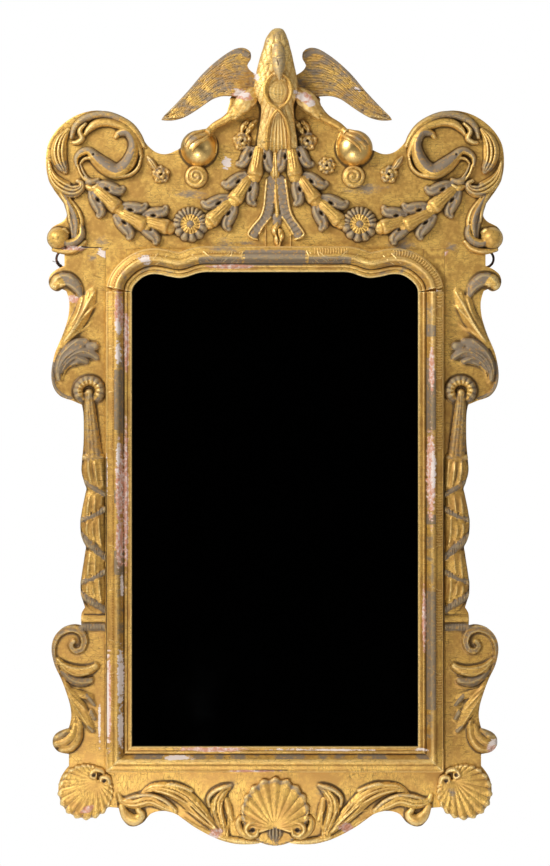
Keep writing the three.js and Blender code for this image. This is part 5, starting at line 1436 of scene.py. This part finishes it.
def eagle_wings():
    back = box_mm("eagle_wing_right")[1][1]
    sheet = board_sheet("eagle_wing_right", 1.0, back, 30, 1.4)
    ground = FACE - back + 8
    sheet.height += ground
    top = smooth_run([(x + EAGLE_X, z) for x, z in WING_TOP], 1.0)
    foot = smooth_run([(x + EAGLE_X, z) for x, z in WING_FOOT], 1.0)

    def place(along, across):
        a = top[int(np.clip(along, 0, 1) * (len(top) - 1))]
        b = foot[int(np.clip(along, 0, 1) * (len(foot) - 1))]
        return a[0] + (b[0] - a[0]) * across, a[1] + (b[1] - a[1]) * across

    # Rows from the longest quills to the small coverts of the shoulder, each over the last.
    for start, end, count, rise, lines in ((0.42, 1.0, 5, 5.5, 5), (0.26, 0.78, 6, 6.0, 4),
                                           (0.10, 0.56, 7, 6.2, 3), (-0.06, 0.34, 8, 6.4, 3)):
        for k in range(count):
            across = 0.12 + 0.84 * k / (count - 1)
            late = end - (end - start) * 0.22 * (k % 2) * 0.5
            points = []
            for share, wide, high in ((0, 0.5, 0.2), (0.3, 0.62, 0.5), (0.6, 0.64, 0.75), (0.88, 0.56, 0.8),
                                      (1, 0.22, 0.4)):
                along = start + (late - start) * share
                near = math.dist(place(along, 0), place(along, 1)) / count
                points.append((*place(along, across), max(1.5, near * wide * 1.25), rise * high))
            sheet.lay(points, ribbed(lines, 0.55), None, foot=ground)
            sheet.cut([(x + 0.2, z - half * 0.9, 0.9, 2.2) for x, z, half, _ in points[1:4]])
    edge = [(*place(share, 0.03), half, 3.6) for share, half in
            ((0.0, 5), (0.15, 6), (0.35, 5.5), (0.6, 4.5), (0.85, 3), (1.0, 2))]
    sheet.lay(edge, rounded, 0.85, foot=ground)
    sheet.worn = np.maximum(sheet.worn, 0.50 + 0.08 * np.sin(sheet.x * 0.11) * np.sin(sheet.z * 0.13))
    sheet.pair("eagle_wing", base=back, middle=EAGLE_X, soften=0.35)


def on_ball(x, z, lift):
    """A place over the ball's surface as x, y and z from the bird's middle."""
    left = 1 - ((x - BALL_X) ** 2 + (z - BALL_Z) ** 2) / BALL_RADIUS**2
    return x, FACE - BALL_HEIGHT * math.sqrt(max(0, left)) - lift, z


def eagle_legs():
    for hand, side in (("right", 1), ("left", -1)):
        def at(points):
            return [(EAGLE_X + side * x, y, z, r) for x, y, z, r in points]

        thigh = joined_mesh("thigh", [limb(at(LEG), 40, 1.3, 0.92)])
        sheet = Carving((-150, 150), (655, 775), 1.0)
        for row in range(5):
            for k in range(4):
                along, across = 0.02 + 0.10 * row, -0.8 + 0.5 * k + 0.25 * (row % 2)
                x, z = 40 + 75 * along, 742 - 55 * along
                x, z = x + 9 * across, z + 11 * across
                x = EAGLE_X + side * x
                sheet.lay([(x - side * 5, z + 4, 2.5, 0.4), (x + side * 4, z - 4, 4.4, 1.8),
                           (x + side * 11, z - 10, 2, 1.6)], feathered(2.6, 0.3), None)
        pressed(thigh, sheet)
        toes = [at([(*on_ball(x, z, 1), r) for x, z, r in toe]) for toe in TOES]
        toes = joined_mesh("toes", [limb(toe, 20, 1.3, 0.8) for toe in toes])
        mesh = merged(f"eagle_leg_{hand}_carved", thigh, toes)
        stand(f"eagle_leg_{hand}", mesh, shape_relief(mesh, 8, 1.0))


def eagle_balls():
    """The balls under the claws, smooth and burnished."""
    turns = [math.radians(a) for a in range(4, 91, 3)]
    section = [(BALL_RADIUS * math.sin(a), BALL_HEIGHT * math.cos(a)) for a in turns]
    section = [(0.4, BALL_HEIGHT), *section, (BALL_RADIUS, -0.5)]
    round_turns = [math.tau * k / 96 for k in range(96)]
    for hand, side in (("right", 1), ("left", -1)):
        x = EAGLE_X + side * BALL_X
        rings = [[(x + radius * math.cos(t), FACE - rise, BALL_Z + radius * math.sin(t))
                  for t in round_turns] for radius, rise in section]
        mesh = joined_mesh(f"eagle_ball_{hand}_turned", [skinned(rings)])
        stand(f"eagle_ball_{hand}", mesh, np.zeros(len(mesh.vertices)), finish="burnished_gilding")


def beak_ribbon():
    ends = [[(x, y, z, 3) for x, y, z in RIBBON],
            [(11 - x, y + (1.5 if 706 < z < 722 else 0), z, 3) for x, y, z in RIBBON]]
    mesh = joined_mesh("beak_ribbon_carved", [limb(end, 16, 1.4) for end in ends])
    stand("beak_ribbon", mesh, np.full(len(mesh.vertices), 0.2))


def scaled(pitch=9.0):
    """A band of short overlapping scales, each end standing a little proud."""
    def shape(across, along, share):
        tooth = (along / pitch + 0.12 * across**2) % 1.0
        return (0.62 + 0.38 * tooth**1.5) * np.clip((1 - np.abs(across)) * 4, 0, 1) ** 0.6

    return shape


def eagle_tail():
    sheet = Carving((-60, 66), (462, 606), sizes().carving_step / MM)
    for run in ([(-6, 592), (-8, 566), (-10, 542), (-16, 524), (-29, 508), (-37, 494)],
                [(10, 592), (13, 566), (16, 542), (22, 524), (33, 508), (41, 494)]):
        lean = 1 if run[-1][0] > 0 else -1
        sheet.lay([(x, z, 8.5, 6) for x, z in run], scaled(), 0.95)
        outer = [(x + lean * (9 + (592 - z) * 0.02), z, 2.4, 7.5) for x, z in run]
        sheet.lay([*outer, (run[-1][0] + lean * 3, 486, 2.2, 6.5), (run[-1][0] - lean * 6, 484, 2, 5)],
                  rounded, 0)
        inner = [(x - lean * 8.5, z, 2.0, 6.5) for x, z in run[3:]]
        sheet.lay(inner, rounded, 0)
    sheet.lay([(1, 590, 4, 5), (2, 560, 4.5, 7), (4, 535, 4, 7), (4, 524, 3, 5)], ribbed(2, 0.35), 0.1)
    sheet.lay([(4, 524, 9, 4), (4, 514, 8, 5)], rounded, 0.9)
    # Twig that hangs between the tail's forks.
    sheet.lay([(4, 514, 3, 6), (1, 502, 8, 8), (8, 492, 9, 9), (5, 480, 7, 8), (8, 470, 3, 5)],
              rounded, 0.2)
    for x, z in ((-3, 498), (9, 503), (13, 488), (1, 486), (10, 478), (3, 508)):
        sheet.lay([(x, z + 5, 1.5, 2), (x + 1, z - 1, 3.4, 4), (x - 1, z - 6, 1.5, 1)], leaf, 0.3, add=True)
    sheet.cut([(5, 504, 1.2, 4), (4, 495, 1.8, 6), (7, 484, 1.6, 6), (7, 474, 1.2, 4)])
    for x in (-17, 28):
        sheet.lay([(x, 508, 1.5, 3), (x, 490, 1.8, 3.4), (x, 472, 1.5, 3)], rounded, 0)
    sheet.solid("eagle_tail", "worn_gilt_pine")


# ---------------------------------------------------------------- work done by Geometry Nodes


def node_group(name, **sockets):
    """A Geometry Nodes tree with named inputs: the tree, what adds to it, and its inputs."""
    tree = bpy.data.node_groups.new(name, "GeometryNodeTree")
    tree.interface.new_socket("Geometry", in_out="INPUT", socket_type="NodeSocketGeometry")
    tree.interface.new_socket("Geometry", in_out="OUTPUT", socket_type="NodeSocketGeometry")
    for label, kind in sockets.items():
        tree.interface.new_socket(label, in_out="INPUT", socket_type=f"NodeSocket{kind}")
    add = partial(add_node, tree)
    return tree, add, add("given").outputs


def close_group(add, finish, *parts):
    """Joins the parts, makes their instances real, gives them their material and ends the tree."""
    add("group result", add("finished", add("real", add("joined", *parts)), finish))


def set_along(add, lines, stud, pitch):
    """Copies of an object along the lines of another, one each pitch, turned to run with them."""
    evenly = add("even", add("curve", add("object", lines)), pitch)
    return add("copies", evenly, add("object", stud), add("turned along", add("tangent")))


def moulding_tree():
    """A profile swept along a path, with nicks set along lines and leaf lips laid over it."""
    tree, add, given = node_group(
        "moulding", Profile="Object", Nick_lines="Object", Nick="Object", Nick_pitch="Float",
        Lip_lines="Object", Lip_radius="Float", Step="Float", Finish="Material")

    def drawn(socket):
        return add("curve", add("object", given[socket]))

    path = add("even", add("curve", given["Geometry"]), given["Step"])
    run = add("swept", add("normal up", path), drawn("Profile"), True)
    lips = add("swept", drawn("Lip_lines"), add("circle", 7, given["Lip_radius"]), True)
    nicks = set_along(add, given["Nick_lines"], given["Nick"], given["Nick_pitch"])
    close_group(add, given["Finish"], run, lips, nicks)
    return tree


def studs_tree():
    """Copies of one small thing along lines."""
    tree, add, given = node_group("studs", Lines="Object", Stud="Object", Pitch="Float",
                                  Finish="Material")
    close_group(add, given["Finish"], set_along(add, given["Lines"], given["Stud"], given["Pitch"]))
    return tree


def helper(name, points, edges=(), faces=()):
    """An object for the trees to read, drawn in millimetres with z towards the viewer."""
    mesh = bpy.data.meshes.new(name)
    mesh.from_pydata([[value * MM for value in point] for point in points], edges, faces)
    obj = bpy.data.objects.new(name, mesh)
    bpy.context.scene.collection.objects.link(obj)
    return obj


def drawn_lines(name, lines, closed=False):
    """A helper of lines, with z as 0 where a point has none."""
    points, edges = [], []
    for line in lines:
        first = len(points)
        points += [(*point, 0)[:3] for point in line]
        edges += [(i, i + 1) for i in range(first, len(points) - 1)]
        if closed:
            edges.append((len(points) - 1, first))
    return helper(name, points, edges)


def built(name, obj, tree, **settings):
    """The plain mesh that a tree makes of an object, stood upright with its base at y = 0."""
    modifier = obj.modifiers.new(tree.name, "NODES")
    modifier.node_group = tree
    for item in tree.interface.items_tree:
        if item.in_out == "INPUT" and item.name in settings:
            modifier[item.identifier] = settings[item.name]
    bpy.context.view_layer.update()
    graph = bpy.context.evaluated_depsgraph_get()
    mesh = bpy.data.meshes.new_from_object(obj.evaluated_get(graph))
    mesh.name = name
    for item in (obj, *settings.values()):
        if isinstance(item, bpy.types.Object):
            bpy.data.objects.remove(item)
    mesh.transform(Matrix.Rotation(math.pi / 2, 4, "X"))
    outward(mesh)
    return mesh


# ---------------------------------------------------------------- mouldings

# Section of the moulding: distance from the sight edge and height above its base.
SECTION = [
    (0, 0), (0, 4.6), (0.7, 5.6), (3, 6.1), (6, 5.7), (7, 5.6), (7.6, 7.3), (9, 8.7), (10.4, 8.9),
    (12, 8.3), (13.2, 6.6), (14.4, 6.1), (15.4, 7.6), (18, 12.4), (20.6, 17.4), (22.6, 20.2),
    (24.6, 21.5), (26.8, 21.9), (29, 21.5), (30.6, 20.4), (31.8, 18.9), (32.6, 17.4),
    (34, 16.8), (36.5, 16.4), (39, 15.9), (41, 15.2), (41.8, 14.4), (43, 14.6), (44.7, 13.2),
    (45.7, 10.4), (46, 7), (46, 0),
]
# The sight's upper edge on the right, from the middle to the joint with the side.
TOP_EDGE = [
    (0, 425.7), (40, 425.7), (80, 425.7), (108, 425.7), (126, 425.7), (140, 423.4), (156, 417.8),
    (171, 415), (190, 417.4), (208, 421.4), (223, 421.6), (237, 416.5), (248, 407.7), (255, 398.7),
    (257.5, 389.7),
]
# A leaf lip at each end of a run of nicks on the sides: distance from the sight edge, and beyond
# the run's end.
SIDE_LIP = [(40.5, 3), (34, 5), (27, 8.5), (20, 14)]
NICK_LINE = 33  # middle of the nicks, from the sight edge
TOP_NICKS = [(70, 128), (214, 258)]  # spans of x with nicks
# Spans of z with nicks, on the sides.
SIDE_NICKS = [(392, 366), (338, 296), (284, 238), (206, 112), (20, -62), (-150, -232), (-300, -352)]
# Runs of the side mouldings where the leaf has gone: middle level, half length and hand.
DARK_RUNS = [(195, 54, 0), (-255, 106, 1), (-96, 22, -1), (318, 10, 1), (22, 12, -1), (-20, 9, 1)]
# Lips of the leaves wrapped round the top moulding: x, and distance from the sight edge.
TOP_LIPS = [
    [(139, 34), (136, 26), (130, 18)], [(126, 36), (121, 29), (112, 25), (98, 25), (88, 28), (80, 35)],
    [(76, 37), (79, 29), (87, 22), (94, 18)], [(63, 34), (69, 24), (78, 17)],
    [(56, 37), (61, 27), (68, 16)], [(124, 24), (119, 19), (112, 19), (108, 24)],
    [(108, 24), (104, 19), (97, 19), (93, 24)], [(213, 36), (217, 27), (224, 19)],
    [(202, 35), (206, 25), (214, 17)],
]


def beside(path, across):
    """The line that runs beside a path at that distance, on its left."""
    ahead = np.gradient(path, axis=0)
    ahead /= np.linalg.norm(ahead, axis=1)[:, None]
    return path + across * np.stack([-ahead[:, 1], ahead[:, 0]], 1)


def height_at(across):
    """How high the moulding stands at a distance from the sight edge."""
    away, height = zip(*SECTION[1:-1])
    return np.interp(across, away, height)


def on_top(path, points):
    """Points given by x and distance from the path, as places on the moulding's surface."""
    placed = []
    for x, across in points:
        near = np.abs(path[:, 0] - x).argmin()
        placed.append((*beside(path, across)[near], height_at(across) - 0.2))
    return placed


def nick():
    """One nick: a thin curved ridge across the moulding's upper members."""
    points, faces = [], []
    steps = 7
    for i in range(steps + 1):
        away = -1.5 + 11 * i / steps
        height = height_at(NICK_LINE + away)
        crown = 1.7 * math.sin(math.pi * min(1, max(0, (i + 0.4) / (steps + 0.8)))) ** 0.6
        bend = 1.2 * (1 - ((away - 4) / 5.5) ** 2)
        points += [(bend - 1.4, away, height - 0.8), (bend, away, height + crown),
                   (bend + 1.4, away, height - 0.8)]
        if i:
            a, b = 3 * i - 3, 3 * i
            faces += [(a, a + 1, b + 1, b), (a + 1, a + 2, b + 2, b + 1), (a + 2, a, b, b + 2)]
    faces += [(2, 1, 0), (3 * steps, 3 * steps + 1, 3 * steps + 2)]
    return helper("nick", points, faces=faces)


def moulding(node, path, nick_lines, lips, worn_at):
    """One of the four mouldings, its ends cut to the mitres."""
    mesh = built(
        node + "_run", drawn_lines(node + "_path", [path]), moulding_tree(),
        Profile=drawn_lines("profile", [[(-across, -height) for across, height in SECTION]], True),
        Nick_lines=drawn_lines("nick_lines", nick_lines), Nick=nick(), Nick_pitch=sizes().nick_pitch,
        Lip_lines=drawn_lines("lips", lips), Lip_radius=1.25 * MM, Step=2.2 * MM,
        Finish=material("water_gilding"))
    place = rows(mesh.vertices, "co", np.float32) / MM
    x, z = place[:, 0], place[:, 2]
    away = np.full(len(x), 1e9)
    for px, pz in path[::2]:
        away = np.minimum(away, np.hypot(x - px, z - pz))
    if node != "moulding_top":
        # Mitres: the ends lean outwards by as much as the moulding's width.
        edge = SIGHT_SIDE if "side" in node else SIGHT_FOOT
        across = np.abs(x) - edge if "side" in node else edge - z
        reach = 60
        if "side" in node:
            share = np.clip((SIGHT_FOOT + reach - z) / reach, 0, 1)
            place[:, 2] = z - across * share
        else:
            share = np.clip((np.abs(x) - SIGHT_SIDE + reach) / reach, 0, 1)
            place[:, 0] = x + np.sign(x) * across * share
        away = across
    place[:, 1] += FACE - 0.3
    mesh.vertices.foreach_set("co", (place * MM).ravel())
    mesh.update()
    obj = finished(mesh, (), sharp=40)
    weather(obj, shape_relief(mesh, 6, 1.5), worn_at(place[:, 0], place[:, 2], away))
    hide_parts(node)


def mouldings():
    half = smooth_run(TOP_EDGE, 2.0)
    path = np.vstack([np.stack([-half[::-1, 0], half[::-1, 1]], 1), half[1:]])
    line = beside(path, NICK_LINE)
    nick_lines = []
    for low, high in TOP_NICKS:
        for side in (1, -1):
            part = line[(side * path[:, 0] >= low) & (side * path[:, 0] <= high)]
            nick_lines.append(part if side > 0 else part[::-1])
    lips = [on_top(path, [(side * x, across) for x, across in lip])
            for lip in TOP_LIPS for side in (1, -1)]

    def top_wear(x, z, away):
        # The torus's inner slope, 14 to 22 mm out, is painted grey-brown: partly rubbed leaf, partly
        # painted shade of that slope.
        slope = ((away > 14) & (away < 22)) * 0.45
        lobes = ((np.abs(x) > 60) & (np.abs(x) < 136) & (away > 14) & (away < 26)) * 0.9
        middle = (np.abs(x) < 56 + 3 * np.sin(away)) * (away > 12) * (away < 38) * 0.8
        return np.maximum(np.maximum(slope, lobes), middle)

    moulding("moulding_top", path, nick_lines, lips, top_wear)

    def side_wear(x, z, away):
        # A grey-brown band in clumps down the torus's inner slope: partly rubbed leaf, partly painted shade
        # of that slope; the dark runs are where the leaf has gone.
        dark = 0.42 + 0.16 * np.sin(z / 17 + 1.6 * np.sin(z / 7.3))
        for level, reach, hand in DARK_RUNS:
            dark = np.where((np.abs(z - level) < reach) & (x * hand >= 0), 0.82, dark)
        return ((away > 14) & (away < 25 + 6 * (dark > 0.8))) * dark

    for side, name in ((1, "moulding_side_right"), (-1, "moulding_side_left")):
        z = np.linspace(MOULDING_JOINT, SIGHT_FOOT + 0.3, 400)
        path = np.stack([np.full_like(z, side * SIGHT_SIDE), z], 1)[::side]
        nick_lines, lips = [], []
        for high, low in SIDE_NICKS:
            nick_lines.append([(side * (SIGHT_SIDE + NICK_LINE), z) for z in (high, low)])
            for end, way in ((high, 1), (low, -1)):
                if end < MOULDING_JOINT - 8:
                    lips.append([(side * (SIGHT_SIDE + across), end + way * beyond,
                                  height_at(across) - 0.2) for across, beyond in SIDE_LIP])
        moulding(name, path, nick_lines, lips, side_wear)

    def foot_wear(x, z, away):
        return (0.52 + 0.2 * np.sin(x / 21 + 1.5 * np.sin(x / 8))) * (away > 13) * (away < 21)

    x = np.linspace(SIGHT_SIDE, -SIGHT_SIDE, 260)
    path = np.stack([x, np.full_like(x, SIGHT_FOOT)], 1)
    moulding("moulding_bottom", path, [[(0, -461), (1, -461)]], [[(0, -432, 3), (1, -432, 3)]],
             foot_wear)


# ---------------------------------------------------------------- back and ironwork


NAIL_ROOM = 0.6  # how far the nail heads stand behind the boards


def plank(node):
    """A bare board with eased edges, its back planed a little so that nail heads stand on it."""
    low, high = box_mm(node)
    high[1] -= NAIL_ROOM
    body = bmesh.new()
    bmesh.ops.create_cube(body, size=1)
    for corner in body.verts:
        corner.co = Vector([(low[i] + (corner.co[i] + 0.5) * (high[i] - low[i])) * MM for i in range(3)])
    bmesh.ops.bevel(body, geom=body.edges[:], offset=1.6 * MM, segments=3, profile=0.5, affect="EDGES")
    mesh = bpy.data.meshes.new(node + "_plank")
    body.to_mesh(mesh)
    body.free()
    finish = "aged_level_pine" if "backboard" in node else "aged_pine"
    obj = finished(mesh, (finish,), sharp=30)
    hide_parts(node)
    return low, high


def backs():
    lines = []
    for part in ("bottom", "middle", "top"):
        low, high = plank("backboard_" + part)
        for x in (low[0] + 9, high[0] - 9):
            lines.append([(x, low[2] + 26), (x, high[2] - 24)])
    for node in ("crest_batten_right", "crest_batten_left", "apron_batten_right", "apron_batten_left"):
        low, high = plank(node)
        middle = (low[0] + high[0]) / 2
        lines.append([(middle, low[2] + 16), (middle, high[2] - 14)])
    # A wrought nail's head: four rough facets round a blunt point, seen from behind.
    points = [(0, 0, -0.5)]
    for reach, height in ((2.6, -0.3), (3.4, 0.2)):
        points += [(reach * math.cos(a), reach * math.sin(a), height)
                   for a in (math.tau * i / 8 for i in range(8))]
    faces = [(0, 1 + (i + 1) % 8, 1 + i) for i in range(8)]
    faces += [(1 + i, 1 + (i + 1) % 8, 9 + (i + 1) % 8, 9 + i) for i in range(8)]
    faces.append(tuple(range(9, 17)))
    mesh = built(
        "back_nails", helper("nails", [(0, 0, 0)]), studs_tree(), Lines=drawn_lines("nail_lines", lines),
        Stud=helper("nail", points, faces=faces), Pitch=sizes().nail_pitch,
        Finish=material("wrought_iron"))
    mesh.transform(Matrix.Translation((0, -NAIL_ROOM * MM, 0)))
    finished(mesh, (), sharp=30)


def hanging_rings():
    """The two rings, forged round and a little uneven."""
    for side, name in ((1, "right"), (-1, "left")):
        low, high = box_mm("hanging_ring_" + name)
        centre = (low + high) / 2
        wire = (high[1] - low[1]) / 2
        radius = (high[0] - low[0]) / 2 - wire
        points, faces = [], []
        rounds, sides = 72, 16
        for i in range(rounds):
            along = math.tau * i / rounds
            thick = wire * (1 - 0.03 * (1 + math.sin(3 * along + 0.7)) / 2)
            for k in range(sides):
                turn = math.tau * k / sides
                reach = radius + thick * math.cos(turn)
                points.append(((centre[0] + reach * math.cos(along)) * MM,
                               (centre[1] + thick * math.sin(turn)) * MM,
                               (centre[2] + reach * math.sin(along)) * MM))
                after, over = (i + 1) % rounds, (k + 1) % sides
                faces.append((i * sides + k, i * sides + over, after * sides + over, after * sides + k))
        mesh = bpy.data.meshes.new(f"hanging_ring_{name}_forged")
        mesh.from_pydata(points, [], faces)
        obj = finished(mesh, ("wrought_iron",), f"ring_{name}", 0)
        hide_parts("hanging_ring_" + name)


# ---------------------------------------------------------------- stage


CAMERA_AWAY = 5.0  # metres in front of the wall
PHOTO_HEIGHT = 866 * 1.8  # mm that the picture takes in at the boards' faces


def set_stage():
    scene = bpy.context.scene
    camera = bpy.data.objects.new("camera", bpy.data.cameras.new("camera"))
    scene.collection.objects.link(camera)
    camera.location = (0, -CAMERA_AWAY, 0.1359)
    camera.rotation_euler = (math.pi / 2, 0, 0)
    camera.data.sensor_width = 36
    camera.data.lens = 36 * (CAMERA_AWAY + FACE * MM) / (PHOTO_HEIGHT * MM)
    scene.camera = camera

    def scenery(name, points, faces, finish):
        mesh = bpy.data.meshes.new(name)
        mesh.from_pydata(points, [], faces)
        mesh.materials.append(material(finish))
        obj = bpy.data.objects.new(name, mesh)
        scene.collection.objects.link(obj)
        return obj

    half, level = 2.2, cad_box[0][2] - 0.75
    corners = [(-half, -half, level), (half, -half, level), (half, half, level), (-half, half, level)]
    floor = scenery("floor", corners, [(0, 1, 2, 3)], "painted_floor")
    # A dark cloth in front, behind the camera, for the plate to reflect.
    points, faces = [], []
    steps = 12
    for i in range(steps + 1):
        turn = math.radians(-60 + 120 * i / steps)
        for z in (-1.6, 3.2):
            points.append((7.5 * math.sin(turn), -7.5 * math.cos(turn), z))
        if i:
            faces.append((2 * i - 2, 2 * i, 2 * i + 1, 2 * i - 1))
    cloth = scenery("dark_cloth", points, faces, "black_velvet")
    cloth.visible_camera = False
    cloth.visible_diffuse = False
    cloth.visible_shadow = False
    cloth.visible_transmission = False

    def lamp(name, place, aim, size, watts):
        light = bpy.data.lights.new(name, "AREA")
        light.shape, light.size, light.energy = "SQUARE", size, watts
        holder = bpy.data.objects.new(name, light)
        holder.location = place
        holder.rotation_euler = (Vector(aim) - Vector(place)).to_track_quat("-Z", "Y").to_euler()
        holder.visible_camera = False
        scene.collection.objects.link(holder)

    lamp("key_softbox", (-1.8, -1.5, 1.5), (-0.1, 0, 0.05), 0.9, 76)
    lamp("fill_softbox", (2.6, -2.6, 0.8), (0, 0, 0.1), 1.6, 10)
    lamp("low_fill", (-0.5, -2.0, -1.05), (0, 0, -0.6), 0.5, 20)

    # White to the eye, and dimmer as a light.
    world = bpy.data.worlds.new("white_studio")
    world.use_nodes = True
    world.node_tree.nodes.clear()
    add = partial(add_node, world.node_tree)
    rays = add("rays").outputs
    seen = add("larger", rays["Is Camera Ray"], rays["Is Transmission Ray"])
    add("sky", add("light", (1, 1, 1, 1), add("range", seen, 0.0, 1.0, 0.40, 1.0)))
    scene.world = world
    scene.view_settings.view_transform = "Standard"


# ---------------------------------------------------------------- operators and panel


# Finishes of the CAD nodes that no carved piece replaces, by the start of the name.
NODE_FINISHES = [("mirror", "silvered_plate"), ("hang", "wrought_iron"), ("binding", "wrought_iron"),
                 ("carcass", "gilt_fronted_pine"), ("glazing", "aged_pine"), ("", "water_gilding")]


class WALL_MIRROR_OT_frame(bpy.types.Operator):
    """Give the carcass, plate, ironwork and any other still shown nodes of the CAD frame their finishes"""

    bl_idname = "wall_mirror.frame"
    bl_label = "Finish the frame"

    def execute(self, context):
        for name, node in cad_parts.items():
            if node.hide_render:
                continue
            finishes = [finish for start, finish in NODE_FINISHES if name.startswith(start)]
            node.data.materials.clear()
            node.data.materials.append(material(finishes[0]))
        return {"FINISHED"}


class WALL_MIRROR_OT_boards(bpy.types.Operator):
    """Carve the crest, side and apron boards"""

    bl_idname = "wall_mirror.boards"
    bl_label = "Carve the boards"

    def execute(self, context):
        side_boards()
        apron_board()
        crest_board()
        return {"FINISHED"}


class WALL_MIRROR_OT_shells(bpy.types.Operator):
    """Carve the shells of the corners and the apron"""

    bl_idname = "wall_mirror.shells"
    bl_label = "Carve the shells"

    def execute(self, context):
        corner_shells()
        apron_shell()
        return {"FINISHED"}


class WALL_MIRROR_OT_crest_ornament(bpy.types.Operator):
    """Carve the ears, the festoon of husks and the flowers"""

    bl_idname = "wall_mirror.crest_ornament"
    bl_label = "Carve the crest's ornament"

    def execute(self, context):
        ear_scrolls()
        festoon()
        flowers()
        return {"FINISHED"}


class WALL_MIRROR_OT_eagle(bpy.types.Operator):
    """Carve the eagle, the balls it stands on and its ribbon"""

    bl_idname = "wall_mirror.eagle"
    bl_label = "Carve the eagle"

    def execute(self, context):
        eagle_body()
        eagle_wings()
        eagle_legs()
        eagle_balls()
        beak_ribbon()
        eagle_tail()
        return {"FINISHED"}


class WALL_MIRROR_OT_mouldings(bpy.types.Operator):
    """Run the four mouldings round the plate"""

    bl_idname = "wall_mirror.mouldings"
    bl_label = "Run the mouldings"

    def execute(self, context):
        mouldings()
        return {"FINISHED"}


class WALL_MIRROR_OT_back(bpy.types.Operator):
    """Fit the backboards, battens, nails and hanging rings"""

    bl_idname = "wall_mirror.back"
    bl_label = "Fit the back and its ironwork"

    def execute(self, context):
        backs()
        hanging_rings()
        return {"FINISHED"}


class WALL_MIRROR_OT_stage(bpy.types.Operator):
    """Set the floor, the lamps, the dark cloth and the camera"""

    bl_idname = "wall_mirror.stage"
    bl_label = "Set the stage"

    def execute(self, context):
        set_stage()
        return {"FINISHED"}


STEPS = (WALL_MIRROR_OT_stage, WALL_MIRROR_OT_shells, WALL_MIRROR_OT_crest_ornament,
         WALL_MIRROR_OT_eagle, WALL_MIRROR_OT_boards, WALL_MIRROR_OT_mouldings,
         WALL_MIRROR_OT_back, WALL_MIRROR_OT_frame)


class WALL_MIRROR_PT_panel(bpy.types.Panel):
    """Lists the mirror's steps"""

    bl_idname = "WALL_MIRROR_PT_panel"
    bl_label = "Wall mirror"
    bl_space_type = "VIEW_3D"
    bl_region_type = "UI"
    bl_category = "Wall Mirror"

    def draw(self, context):
        for step in STEPS:
            self.layout.operator(step.bl_idname)


CLASSES = (MirrorColours, MirrorSizes, *STEPS, WALL_MIRROR_PT_panel)


def register():
    for item in CLASSES:
        bpy.utils.register_class(item)
    bpy.types.Scene.wall_mirror_colours = bpy.props.PointerProperty(type=MirrorColours)
    bpy.types.Scene.wall_mirror_sizes = bpy.props.PointerProperty(type=MirrorSizes)


def unregister():
    del bpy.types.Scene.wall_mirror_sizes
    del bpy.types.Scene.wall_mirror_colours
    for item in reversed(CLASSES):
        bpy.utils.unregister_class(item)


def main():
    register()
    for step in STEPS:
        group, name = step.bl_idname.split(".")
        getattr(getattr(bpy.ops, group), name)()


if __name__ == "__main__":
    main()
